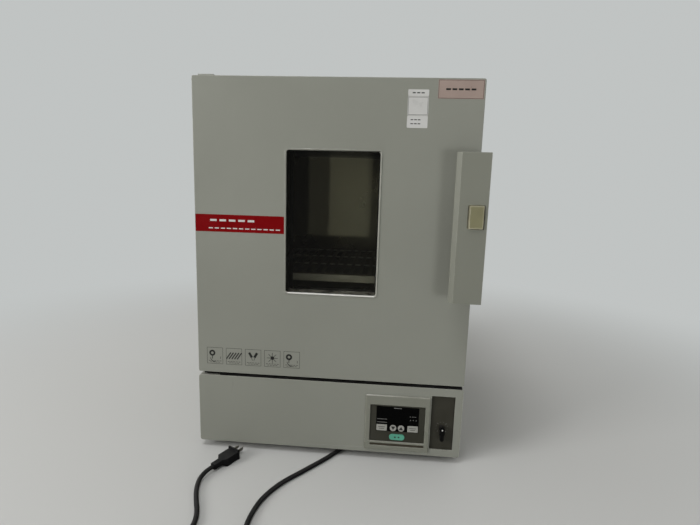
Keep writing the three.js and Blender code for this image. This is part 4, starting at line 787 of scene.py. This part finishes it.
# Under the false floor: a sheathed heater ring, browned by heat, and the fan's pressed wheel, which
# blows the air over it and up through the chamber.
heater_sheath = metal_finish("heater_sheath", "motor", (0.11, 0.08, 0.06), 0.55, 0.7, 0.35, 40)
bumped(heater_sheath, noise(heater_sheath.node_tree, 1800, 3), 0.05)
heater = copied("heater_coil", "heater_ring", heater_sheath)
pick(heater)
bpy.ops.object.shade_smooth_by_angle(angle=math.radians(50))
ease_edges(copied("fan_wheel", "fan_blades", shelf_steel), 0.35)

# Mineral wool fills the space round the chamber and inside the door: straw-coloured slabs of matted
# fibres, cut to size and laid in loose.
wool_tone = (0.46, 0.40, 0.25)
mineral_wool = new_finish("mineral_wool", "wool", wool_tone, 0.95)
tree = mineral_wool.node_tree
fibres = noise(tree, 240, 6, (1, 1, 0.12))
cross_fibres = noise(tree, 260, 6, (0.12, 1, 1))
tangle = math_node(tree, "MULTIPLY", fibres, cross_fibres)
loose = used(tree, uneven, Color=(*wool_tone, 1), Roughness=0.95, Depth=0.2, Size=14).outputs["Color"]
colour_with(mineral_wool, covered(tree, ramp_between(tree, tangle, 0.12, 0.36), loose, (0.62, 0.56, 0.38)))
bumped(mineral_wool, tangle, 1.6)
for node in ("insulation_jacket", "door_insulation"):
    dress(frame["nodes"][node], mineral_wool)

# Two exhaust pipes leave the chamber at the back, each with a rotary shutter that is turned by hand.
# The pipes are stainless tube, the shutters plated steel.
for side in ("left", "right"):
    ease_edges(copied(f"exhaust_pipe_{side}", f"exhaust_tube_{side}", shelf_steel), 0.4)
    ease_edges(copied(f"exhaust_shutter_{side}", f"shutter_cap_{side}", zinc), 0.6)

# The lead's gland: a black nylon nut on the rear panel, with a ribbed taper that saves the cable. It
# grips the lead's sheath where that comes out of the case.
gland_face, gland_reach = 587.3, 37.5
taper_ribs, taper_pitch, taper_start, taper_loss, groove = 6, 3.8, 14, 0.62, 1.3


def turned_piece(profile, sides=40):
    """A solid of rings stacked up the Z axis, given as (radius, height) in millimetres."""
    bpy.ops.object.select_all(action="DESELECT")
    (first, low), *rest = profile
    bpy.ops.mesh.primitive_circle_add(vertices=sides, radius=first * mm, fill_type="NGON", location=(0, 0, 0))
    piece = bpy.context.object
    bpy.ops.object.mode_set(mode="EDIT")
    bpy.ops.mesh.select_all(action="SELECT")
    bpy.ops.transform.translate(value=(0, 0, low * mm))
    radius, height = first, low
    for next_radius, next_height in rest:
        climb, grow = (next_height - height) * mm, next_radius / radius
        bpy.ops.mesh.extrude_region_move(TRANSFORM_OT_translate={"value": (0, 0, climb)})
        bpy.ops.transform.resize(value=(grow, grow, 1), center_override=(0, 0, next_height * mm))
        radius, height = next_radius, next_height
    close_up()
    bpy.ops.object.shade_smooth_by_angle(angle=math.radians(32))
    return piece


taper = [(10.4, 13)]
for step in range(taper_ribs):
    start, radius = taper_start + step * taper_pitch, 10 - step * taper_loss
    waist = radius - groove
    taper += [(waist, start), (waist, start + 1.2), (radius, start + 1.7), (radius, start + 3.3)]
taper += [(6.2, gland_reach - 0.4), (5.6, gland_reach)]
nylon = moulded_finish("black_nylon", "black_rubber", (0.014, 0.014, 0.015), 0.42)
nut = turned_piece([(13.2, 0), (14, 0.8), (14, 4.6), (12.6, 5.4)], 6)
collar = turned_piece([(11.6, 5), (11.6, 11.5), (10.4, 13), *taper])
gland = joined([collar, nut])
gland.matrix_world = set_facing(at(gland_side, gland_face, gland_height), (0, 1, 0))
settle(gland, "gland_nut", "cabinet", nylon, "cable_gland")

# The door's hinges: bent plates with a pin each, screwed to the case above and below the door. The
# upper one is zinc plated and has gone dull; the lower one is dark, painted shade in the gap below the door.
dull_zinc = zinc_finish("dull_zinc", (0.40, 0.41, 0.37), 0.5)
shader_of(dull_zinc).inputs["Metallic"].default_value = 0.25
ease_edges(copied("hinge_plate_top", "hinge_strap_top", dull_zinc), 0.5)
hinge_shade_zinc = zinc_finish("hinge_shade_black", (0.022, 0.022, 0.020), 0.6)
ease_edges(copied("hinge_plate_bottom", "hinge_strap_bottom", hinge_shade_zinc), 0.5)
hinge_side, hinge_top = -262, 807.2
hinge_spots = [(hinge_side, y, hinge_top) for y in (74, 106)]
drive_screws("hinge_screws", "cabinet", hinge_spots, (0, 0, 1), radius=3.6, tall=1.4)

# The control panel: a painted pan under the door, its front edges folded to a soft radius. It is bent
# from the same sheet as the case, and has the same coat.
panel_low, panel_high, panel_half, fold_reach = 16, 172.5, 290, 6


def on_front_fold(low, high):
    """A test for the outer edges of a pan's front, between two heights in millimetres."""
    def test(place, run):
        x, y, z = (place.x - middle) / mm, (place.y - face) / mm, place.z / mm
        outside = abs(x) > panel_half - fold_reach or z < low + fold_reach or z > high - fold_reach
        return abs(y) < 0.02 and abs(run.y) < hair and outside
    return test


ease_edges(copied("control_panel", "panel_front", enamel), 1.4, 3, 35, on_front_fold(panel_low, panel_high))

# The controller's bezel: a painted frame that stands proud of the panel, its outer edges cut back flat
# and the edges round the screen more finely.
# Its heavy dusting is a painted highlight on the bevels that face up.
bezel_enamel = enamel_finish("bezel_enamel", (0.224, 0.229, 0.192), 0.26, 0.75)
bezel_bevel, screen_bevel = 2.6, 1.1
bezel = copied("control_bezel", "bezel_frame", bezel_enamel)
bezel_low, bezel_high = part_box("control_bezel")
screen_low, screen_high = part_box("control_face")


def near_outline(place, low, high, reach):
    """Whether a place lies within a reach, in millimetres, of an upright rectangle's outline."""
    gaps = [min(abs(place[axis] - low[axis]), abs(place[axis] - high[axis])) for axis in (0, 2)]
    inside = all(low[axis] - reach * mm < place[axis] < high[axis] + reach * mm for axis in (0, 2))
    return inside and min(gaps) < reach * mm


def on_bezel_front(place, run):
    return place.y < bezel_low.y + hair and abs(run.y) < hair


ease_edges(
    bezel, bezel_bevel, 1, 35,
    lambda place, run: on_bezel_front(place, run) and near_outline(place, bezel_low, bezel_high, 1.5),
)
ease_edges(
    bezel, screen_bevel, 2, 50,
    lambda place, run: on_bezel_front(place, run) and near_outline(place, screen_low, screen_high, 1),
)
ease_edges(bezel, 0.35, 2, 30)

# The controller: a dark film face, a black window that hides its display, and soft keys. Its words
# are left off: short bars keep their places, with the two arrows and the lamps' dots.
film = moulded_finish("dark_film", "dark_plate", (0.045, 0.044, 0.033), 0.42, 0.06, 20, 0.1, 1400, 0.015)
dress(frame["nodes"]["control_face"], film)
display_gloss = new_finish("display_gloss", "black_gloss", (0.002, 0.002, 0.002), 0.12)
shader_of(display_gloss).inputs["Specular IOR Level"].default_value = 0.25
clouded(display_gloss, (0.002, 0.002, 0.002), 0.12, 0.06, 60)
ease_edges(copied("display_window", "display_pane", display_gloss), 0.15, 1)
key_grey = moulded_finish("key_grey", "key_grey", (0.36, 0.36, 0.33), 0.45, 0.05, 40, 0.15, 1600, 0.015)
key_mint = moulded_finish("key_green", "key_green", (0.10, 0.38, 0.27), 0.42, 0.05, 40, 0.1, 1600, 0.015)
for node in ("key_left", "key_right", "key_down", "key_up", "key_start"):
    finish = key_mint if node == "key_start" else key_grey
    ease_edges(copied(node, f"{node}_cap", finish), 0.45, 3)
ink_sink, ink_proud = 0.03, 0.05
key_bar_tall, arrow_radius, key_dot_radius = 1.2, 5.5, 1.9


def ink_finish(name, color, roughness=0.5, depth=0.1):
    """Screen-printed ink: even, with hardly any grain, and no dust."""
    return moulded_finish(name, None, color, roughness, depth, 90, 0, 2000, 0.01)


print_dark = ink_finish("print_dark", (0.03, 0.03, 0.028))
print_pale = ink_finish("print_pale", (0.20, 0.20, 0.19))


def bar_mark(x, z, width, height, y, turn=0.0):
    """A printed bar, its middle and sizes in millimetres, on a face at depth y."""
    bpy.ops.object.select_all(action="DESELECT")
    bpy.ops.mesh.primitive_plane_add(size=1, location=at(x, y, z), rotation=(math.pi / 2, turn, 0))
    mark = bpy.context.object
    mark.scale = (width * mm, height * mm, 1)
    bpy.ops.object.transform_apply(location=True, rotation=True, scale=True)
    return mark


def dot_mark(x, z, radius, y, sides=24, turn=0.0):
    """A printed dot, or with few sides a triangle or a square."""
    bpy.ops.object.select_all(action="DESELECT")
    bpy.ops.mesh.primitive_circle_add(
        vertices=sides, radius=radius * mm, fill_type="NGON", location=at(x, y, z),
        rotation=(math.pi / 2, turn, 0),
    )
    mark = bpy.context.object
    bpy.ops.object.transform_apply(location=True, rotation=True, scale=True)
    return mark


def outline_mark(x, z, width, height, y, stroke):
    """A printed rectangle that is only its outline."""
    mark = bar_mark(x, z, width, height, y)
    choose_faces(mark, lambda polygon: True)
    bpy.ops.mesh.inset(thickness=stroke * mm)
    bpy.ops.mesh.delete(type="FACE")
    bpy.ops.object.mode_set(mode="OBJECT")
    return mark


def arc_mark(x, z, radius, y, stroke, start, end, steps=16):
    """A printed arc between two angles."""
    mark = bar_mark(x + radius, z, stroke, stroke, y)
    bpy.ops.object.mode_set(mode="EDIT")
    bpy.ops.mesh.select_all(action="SELECT")
    bpy.ops.mesh.delete(type="ONLY_FACE")
    bpy.ops.object.mode_set(mode="OBJECT")
    low = min(vertex.co.z for vertex in mark.data.vertices)
    for edge in mark.data.edges:
        edge.select = all(mark.data.vertices[i].co.z < low + 0.001 * mm for i in edge.vertices)
    for vertex in mark.data.vertices:
        vertex.select = vertex.co.z < low + 0.001 * mm
    bpy.ops.object.mode_set(mode="EDIT")
    bpy.ops.mesh.select_mode(type="VERT")
    bpy.ops.mesh.select_all(action="INVERT")
    bpy.ops.mesh.delete(type="VERT")
    bpy.ops.mesh.select_all(action="SELECT")
    pivot = at(x, y, z)
    bpy.ops.mesh.spin(steps=steps, angle=end - start, center=pivot, axis=(0, -1, 0))
    bpy.ops.mesh.select_all(action="SELECT")
    bpy.ops.object.mode_set(mode="OBJECT")
    turn = Matrix.Translation(pivot) @ Matrix.Rotation(start, 4, (0, -1, 0)) @ Matrix.Translation(-pivot)
    mark.data.transform(turn)
    return mark


def print_marks(name, body, finish, marks, sink=ink_sink, proud=ink_proud):
    """Join marks and give them the thickness of ink, just proud of the face that they are on."""
    ink = joined(marks)
    bpy.ops.object.mode_set(mode="EDIT")
    bpy.ops.mesh.select_mode(type="FACE")
    bpy.ops.mesh.select_all(action="SELECT")
    bpy.ops.transform.translate(value=(0, sink * mm, 0))
    bpy.ops.mesh.extrude_region_move(TRANSFORM_OT_translate={"value": (0, -(sink + proud) * mm, 0)})
    close_up()
    return settle(ink, name, body, finish)


def front_of(node):
    """The depth of a node's foremost face, in millimetres."""
    return (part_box(node)[0].y - face) / mm


pane_front = front_of("display_window")
print_marks("display_print", "cabinet", print_pale, [
    bar_mark(152.6, 122.5, 17, 1.3, pane_front),
    bar_mark(119.3, 96, 21.6, 1.1, pane_front), bar_mark(119.3, 88.7, 21.6, 1.1, pane_front),
    dot_mark(180, 104.7, 0.9, pane_front), bar_mark(188, 104.7, 9, 0.8, pane_front),
    *[dot_mark(x, 96.7, 0.9, pane_front) for x in (181, 187, 193)],
])
key_front = front_of("key_left")
for node, marks in (
    ("key_left", (("bar", 119.1, 78.2, 15), ("bar", 119.1, 74.4, 11))),
    ("key_right", (("bar", 186.3, 78.2, 15), ("bar", 186.3, 74.4, 11))),
    ("key_down", (("arrow", 144.05, 77.4, math.pi),)),
    ("key_up", (("arrow", 161.35, 75.4, 0),)),
    ("key_start", (("dot", 148.9, 55.3, 0), ("dot", 156.9, 55.3, 0))),
):
    drawn_marks = []
    for kind, x, z, value in marks:
        if kind == "bar":
            drawn_marks.append(bar_mark(x, z, value, key_bar_tall, key_front))
        elif kind == "arrow":
            drawn_marks.append(dot_mark(x, z, arrow_radius, key_front, 3, value))
        else:
            drawn_marks.append(dot_mark(x, z, key_dot_radius, key_front, 16))
    print_marks(f"{node}_print", f"{node}_body", print_dark, drawn_marks)

# Each slot of the shelves ends at a low lip, pressed up from the same steel sheet. Its steel is paler
# than the shelf's, a painted highlight for the bright edges in the window's light.
slot_pitch, slot_half_count, slot_width, slot_row_ends = 22, 8, 13, (211, 339.6, 468.2)
lip_height, lip_half = 3.2, 0.5
lip_highlight_steel = moulded_finish("slot_lip_highlight", "stainless", (0.90, 0.89, 0.84), 0.42, 0.05, 60, 0, 1500, 0.01)
shader_of(lip_highlight_steel).inputs["Metallic"].default_value = 1
for node in ("shelf_lower", "shelf_upper"):
    lip_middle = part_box(node)[1].z / mm + lip_height / 2
    lips = [
        bar_mark(column * slot_pitch, lip_middle, slot_width, lip_height, row_end)
        for row_end in slot_row_ends for column in range(-slot_half_count, slot_half_count + 1)
    ]
    print_marks(f"{node}_lips", f"{node}_body", lip_highlight_steel, lips, sink=lip_half, proud=lip_half)

# A black strip lies along the panel's top fold, under the door and beside the lower hinge. It is
# painted shade, which darkens the gap between them.
strip_middle, strip_height, strip_length, strip_tall, strip_front, strip_deep = 22, 174.1, 530, 3.4, 2.4, 30
gap_shade_finish = moulded_finish("gap_shade_black", "black_rubber", (0.006, 0.006, 0.006), 0.9, 0.2, 60, 0.1, 900, 0.2)
shader_of(gap_shade_finish).inputs["Specular IOR Level"].default_value = 0.2
strip = bar_mark(strip_middle, strip_height, strip_length, strip_tall, strip_front)
print_marks("gap_shade_strip", "cabinet", gap_shade_finish, [strip], sink=strip_deep, proud=0)

# A dark brown inlay, a thin moulded strip, is pressed into the groove along the bezel's foot, just
# under the controller's face.
inlay_tone = moulded_finish("inlay", None, (0.052, 0.044, 0.030), 0.5, 0.12, 60, 0.1, 1800, 0.01)
inlay_middle, inlay_height, inlay_length, inlay_tall, inlay_front = 153, 37, 117, 5, -2.5
inlay = bar_mark(inlay_middle, inlay_height, inlay_length, inlay_tall, inlay_front)
print_marks("bezel_inlay", "cabinet", inlay_tone, [inlay], sink=0.1, proud=0.15)

# The overheat cut-out: a dark sunken plate, and a black pointer knob with a white dot over a scale.
# The knob sets a thermostat, which sits in a plated case behind the panel.
plate_black = moulded_finish(
    "dark_plate", "dark_plate", (0.044, 0.042, 0.031), 0.5, 0.08, 16, 0.2, 1200, 0.03,
)
dress(frame["nodes"]["switch_plate"], plate_black)
knob_black = moulded_finish(
    "black_plastic", "black_plastic", (0.004, 0.004, 0.004), 0.4, 0.1, 50, 0.08, 1500, 0.015,
)
shader_of(knob_black).inputs["Specular IOR Level"].default_value = 0.3
ease_edges(copied("dial_knob", "knob_pointer", knob_black), 0.7, 3, 40)
ease_edges(copied("thermostat_body", "cut_out_case", zinc), 0.6)
pivot_side, pivot_height, dial_front, plate_front = 249.3, 82.2, front_of("dial_knob"), 4.0
scale_radius, scale_start, scale_step, knob_dot_radius = 12.5, -45, 30, 1.75
white_ink = ink_finish("print_white", (0.62, 0.62, 0.60), 0.45, 0.05)
knob_dot = dot_mark(pivot_side, pivot_height, knob_dot_radius, dial_front)
print_marks("knob_dot", "dial_knob_body", white_ink, [knob_dot])
scale_marks = []
for step in range(10):
    angle = math.radians(scale_start + step * scale_step)
    across, tall = pivot_side + scale_radius * math.cos(angle), pivot_height + scale_radius * math.sin(angle)
    if step % 3:
        scale_marks.append(dot_mark(across, tall, 0.55, plate_front, 12))
    else:
        scale_marks.append(bar_mark(across, tall, 3.2, 0.9, plate_front, -angle))
print_marks("knob_scale", "cabinet", print_pale, scale_marks)

# The controller's board, behind the keys: green laminate, a black display block and soldered parts.
# It is cut from one sheet, and shows only when the panel is off.
laminate = moulded_finish(
    "circuit_board", "circuit_board", (0.018, 0.10, 0.04), 0.35, 0.2, 120, 0.2, 900, 0.05,
)
board = copied("controller_board", "key_board", laminate)
ease_edges(board, 0.3, 1)
component_black = moulded_finish("component_black", "black_plastic", (0.012, 0.012, 0.013), 0.45)
board.data.materials.append(component_black)
sheet_front, sheet_back = 21.8, 24
for polygon in board.data.polygons:
    depth = (polygon.center.y - face) / mm
    if depth < sheet_front or depth > sheet_back:
        polygon.material_index = 1

# The door's front pan: the same sheet and coat, folded to a soft radius round its face, with a cut
# for the window. Its rear pan is stainless, screwed on round its edge.
door_foot, door_head, door_depth = 180, 804, 46
ease_edges(copied("door_skin", "door_front", enamel), 1.4, 3, 35, on_front_fold(door_foot, door_head))
door_steel = stainless_finish("stainless_door", (12, 900, 900), 0.2)
ease_edges(copied("door_liner", "door_back", door_steel), 0.5)
liner_spots = [(x, door_depth, z) for x in (-272, 272) for z in (215, 410, 590, 770)]
liner_spots += [(x, door_depth, z) for x in (-130, 130) for z in (198, 786)]
drive_screws("door_back_screws", "door", liner_spots, (0, 1, 0), radius=3, tall=1.4)

# The gasket: a hollow bulb of off-white silicone, moulded in one ring and pressed into the liner. The
# closed door squeezes it against the frame round the chamber's mouth.
silicone = moulded_finish("silicone", "silicone", (0.44, 0.42, 0.35), 0.55, 0.1, 22, 0.1, 700, 0.04)
ease_edges(copied("door_gasket", "mouth_gasket", silicone), 3.2, 5, 40)

# The window: a painted trim round two panes of heat-proof glass in a dark spacer. A black border
# on the front of the inner pane is painted shade: it darkens the window's recess.
# The trim's heavy dusting is a painted highlight on its up-facing chamfer at the window's foot.
trim_enamel = enamel_finish("trim_enamel", (0.275, 0.278, 0.245), 0.22, 0.85)
opening_left, opening_right, opening_foot, opening_head, rim_band = -96, 94, 369.05, 662.55, 12
trim = copied("window_trim", "trim_frame", trim_enamel)
trim_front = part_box("window_trim")[0].y
opening_low, opening_high = at(opening_left, 0, opening_foot), at(opening_right, 0, opening_head)


def rim_share(place, run):
    """The opening's rim is cut back wide at its right and foot, and narrow at its left and head."""
    if place.y > trim_front + hair or not near_outline(place, opening_low, opening_high, 1.2):
        return 0
    wide = place.x > opening_high.x - rim_band * mm or place.z < opening_low.z + rim_band * mm
    return 1 if wide else 0.3


def on_trim_rim(place, run):
    """Whether an edge belongs to the trim's outer rim."""
    return place.y < trim_front + hair and not near_outline(place, opening_low, opening_high, 2.9)


ease_edges(trim, 2.3, 1, 35, rim_share)
ease_edges(trim, 0.9, 2, 60, on_trim_rim)
ease_edges(trim, 0.2, 2, 35)
# The spacer's dusting is a painted highlight on its foot, as if lit from above.
spacer_black = moulded_finish("spacer", "dark_plate", (0.010, 0.010, 0.009), 0.4, 0.1, 25, 0.5, 1300, 0.03)
shader_of(spacer_black).inputs["Specular IOR Level"].default_value = 0.3
ease_edges(copied("window_spacer", "pane_spacer", spacer_black), 0.5, 2)
# Painted shade: a black print, widest at the left and head, darkens the recess round the panes.
recess_shade_print = moulded_finish("recess_shade_print", None, (0.006, 0.006, 0.006), 0.5, 0.1, 60, 0, 1800, 0.01)
pane_depth = front_of("inner_glass")
print_marks("pane_shade_border", "door", recess_shade_print, [
    bar_mark(-91.8, 515.8, 8, 293.1, pane_depth), bar_mark(92.3, 515.8, 3, 293.1, pane_depth),
    bar_mark(2.9, 657.1, 175.4, 10.4, pane_depth), bar_mark(2.9, 371.6, 175.4, 4.6, pane_depth),
])
pane_glass = new_finish("glass", "glass", (0.80, 0.80, 0.76), 0.012)
tree = pane_glass.node_tree
shader = shader_of(pane_glass)
shader.inputs["Transmission Weight"].default_value = 1.0
shader.inputs["IOR"].default_value = 1.47
clouded(pane_glass, (0.80, 0.80, 0.76), 0.012, 0.005, 30)
let_light = add_node(tree, "ShaderNodeBsdfTransparent", {"Color": (0.84, 0.84, 0.80, 1)})
to_lamp = add_node(tree, "ShaderNodeLightPath").outputs["Is Shadow Ray"]
pane_surface = mixed(tree, to_lamp, shader.outputs[0], let_light.outputs[0])
tree.links.new(pane_surface, tree.nodes["Material Output"].inputs["Surface"])
for node in ("outer_glass", "inner_glass"):
    dress(frame["nodes"][node], pane_glass)

# Vinyl labels on the door, left plain: a red band to the window, a pink plate in the corner, and
# three white ones in a column. Each is a thin film with clipped corners.
film_thick = 0.14


def vinyl_finish(name, color, roughness=0.34):
    """Printed vinyl film: even colour, faintly faded, with a soft sheen."""
    finish = new_finish(name, None, color, roughness)
    rubbed = tuple(0.5 + 0.4 * channel for channel in color)
    tone = clouded(finish, color, roughness, 0.06, 24)
    colour_with(finish, laid_over(finish, tone, edge_wear_and_rim_light, rubbed, Radius=0.0006, Amount=0.4))
    bumped(finish, noise(finish.node_tree, 260, 2), 0.02)
    return finish


def stick_label(name, left, right_side, low, high, finish, corner=1.0):
    """A label on the door's face, its sides in millimetres, its corners clipped round."""
    label = bar_mark((left + right_side) / 2, (low + high) / 2, right_side - left, high - low, 0)
    choose_faces(label, lambda polygon: True)
    bpy.ops.mesh.bevel(offset=corner * mm, segments=3, affect="VERTICES")
    bpy.ops.object.mode_set(mode="OBJECT")
    film_sheet = label.modifiers.new("film", "SOLIDIFY")
    film_sheet.thickness = film_thick * mm
    film_sheet.offset = 1
    bpy.ops.object.modifier_apply(modifier="film")
    return settle(label, name, "door", finish)


red_vinyl = vinyl_finish("red_vinyl", (0.20, 0.0005, 0.002), 0.45)
shader_of(red_vinyl).inputs["Specular IOR Level"].default_value = 0.1
pink_vinyl = vinyl_finish("pink_vinyl", (0.37, 0.29, 0.255))
white_vinyl = vinyl_finish("white_vinyl", (0.60, 0.60, 0.585))
stick_label("label_red", -289, -100, 491.7, 528, red_vinyl, 0.6)
stick_label("label_pink", 199.5, 287, 765.5, 801, pink_vinyl, 1.2)
for name, low, high in (("top", 769.6, 782), ("middle", 733.6, 769), ("low", 710, 733)):
    stick_label(f"label_white_{name}", 142.5, 182.5, low, high, white_vinyl, 1.5)

# Thin line print: a frame round the pink label and the white ones, and five outlined squares at the
# door's foot, each with a plain device and a row of dashes.
line_ink = ink_finish("line_print", (0.016, 0.016, 0.015))
border_ink = ink_finish("border_print", (0.13, 0.085, 0.075))
print_marks("label_border", "door", border_ink, [outline_mark(243.2, 783.2, 86, 34.2, -film_thick, 0.9)])
print_marks("label_lines", "door", line_ink, [
    outline_mark(162.5, 751.3, 38, 33.2, -film_thick, 0.6),
    *[bar_mark(x, 783.2, 9, 3.4, -film_thick) for x in (219, 231, 243, 255, 267)],
    *[bar_mark(x, 775.8, 6, 2.2, -film_thick) for x in (154, 162.5, 171)],
    *[bar_mark(x, z, 5, 1.8, -film_thick) for x in (152, 159, 166) for z in (725.5, 718)],
])
print_marks("red_dashes", "door", white_ink, [
    *[bar_mark(-250 + 20 * step, 516, 14, 4.2, -film_thick) for step in range(5)],
    *[bar_mark(-256 + 13 * step, 499.5, 9, 2.2, -film_thick) for step in range(12)],
])
square_wide, square_tall, square_stroke, square_pitch = 35.5, 37.5, 0.7, 42.7
first_square, square_height = -252.45, 218.2
devices = []
for count in range(5):
    x, z = first_square + count * square_pitch, square_height
    devices.append(outline_mark(x, z, square_wide, square_tall, 0, square_stroke))
    devices += [bar_mark(x - 12 + 6 * step, z - 12, 4.4, 1.0, 0) for step in range(5)]
    devices += [bar_mark(x - 9 + 6 * step, z - 15, 4.4, 1.0, 0) for step in range(4)]
    if count in (0, 4):
        devices.append(arc_mark(x - 6, z + 6, 4.2, 0, 4.6, 0, 2 * math.pi, 24))
        devices.append(arc_mark(x + 1, z - 3, 11.5, 0, 1.3, -1.5, -0.1))
        devices += [bar_mark(x + 12.4, z - 4.5, 1.0, 5.5, 0), bar_mark(x - 6, z - 4, 1.6, 7, 0)]
    elif count == 1:
        devices += [bar_mark(x - 12 + 6 * step, z + 1.5, 18, 2.5, 0, -0.98) for step in range(5)]
    elif count == 2:
        devices += [bar_mark(x + hand * 5.8, z + 5.6, 12.5, 5.4, 0, -hand * 1.05) for hand in (-1, 1)]
        devices += [bar_mark(x + hand * 3.2, z - 2.2, 10, 1.0, 0, -hand * 1.2) for hand in (-1, 1)]
    else:
        sun_height, ray_reach = z + 1.5, 8.4
        devices.append(dot_mark(x, sun_height, 4.3, 0))
        for ray in range(8):
            angle = ray * math.pi / 4
            ray_side, ray_height = x + ray_reach * math.cos(angle), sun_height + ray_reach * math.sin(angle)
            devices.append(bar_mark(ray_side, ray_height, 7.4, 1.1, 0, -angle))
print_marks("door_devices", "door", line_ink, devices)

# The handle: a tall painted cover on a plated bracket, folded back along its left side, with a hole
# for the push button. Its paint is a shade darker than the door's.
handle_enamel = enamel_finish("handle_enamel", (0.229, 0.235, 0.198), 0.38, 0.3)
ease_edges(copied("handle_cover", "handle_shell", handle_enamel), 0.7, 3)
ease_edges(copied("handle_bracket", "handle_frame", zinc), 0.4)

# The push button: aged ivory plastic with a painted highlight round its rim, a little narrower than
# its hole. A wound spring behind it pushes it back.
ivory = moulded_finish("ivory", "ivory", (0.232, 0.219, 0.127), 0.4, 0.06, 40, 0.2, 1500, 0.015)
aged = shader_of(ivory).inputs["Base Color"].links[0].from_socket
# The pale rim is a painted highlight, laid on with the edge-wear mask.
colour_with(ivory, laid_over(ivory, aged, edge_wear_and_rim_light, (0.60, 0.57, 0.44), Radius=0.0045, Amount=1.0))
button = copied("latch_button", "button_cap", ivory)
button_low, button_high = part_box("latch_button")
cap_share = (0.88, 1, 0.97)
pick(button)
bpy.ops.object.mode_set(mode="EDIT")
bpy.ops.mesh.select_all(action="SELECT")
bpy.ops.transform.resize(value=cap_share, center_override=(button_low + button_high) / 2)
bpy.ops.object.mode_set(mode="OBJECT")
ease_edges(button, 2.8, 1)
spring = copied("button_spring", "button_coil", zinc)
pick(spring)
bpy.ops.object.shade_smooth()
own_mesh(spring)

# The latch: a plated arm that goes round the door's edge, and its keeper, screwed to the case. The
# arm is bent from one strip, and moves in with the button.
ease_edges(copied("latch_arm", "latch_lever", zinc), 0.5, 3)
ease_edges(copied("latch_keeper", "keeper_plate", zinc), 0.2)
keeper_side, keeper_y = 291.8, 88
keeper_spots = [(keeper_side, keeper_y, z) for z in (507, 532)]
drive_screws("keeper_screws", "cabinet", keeper_spots, (1, 0, 0), radius=2.4, tall=0.8)
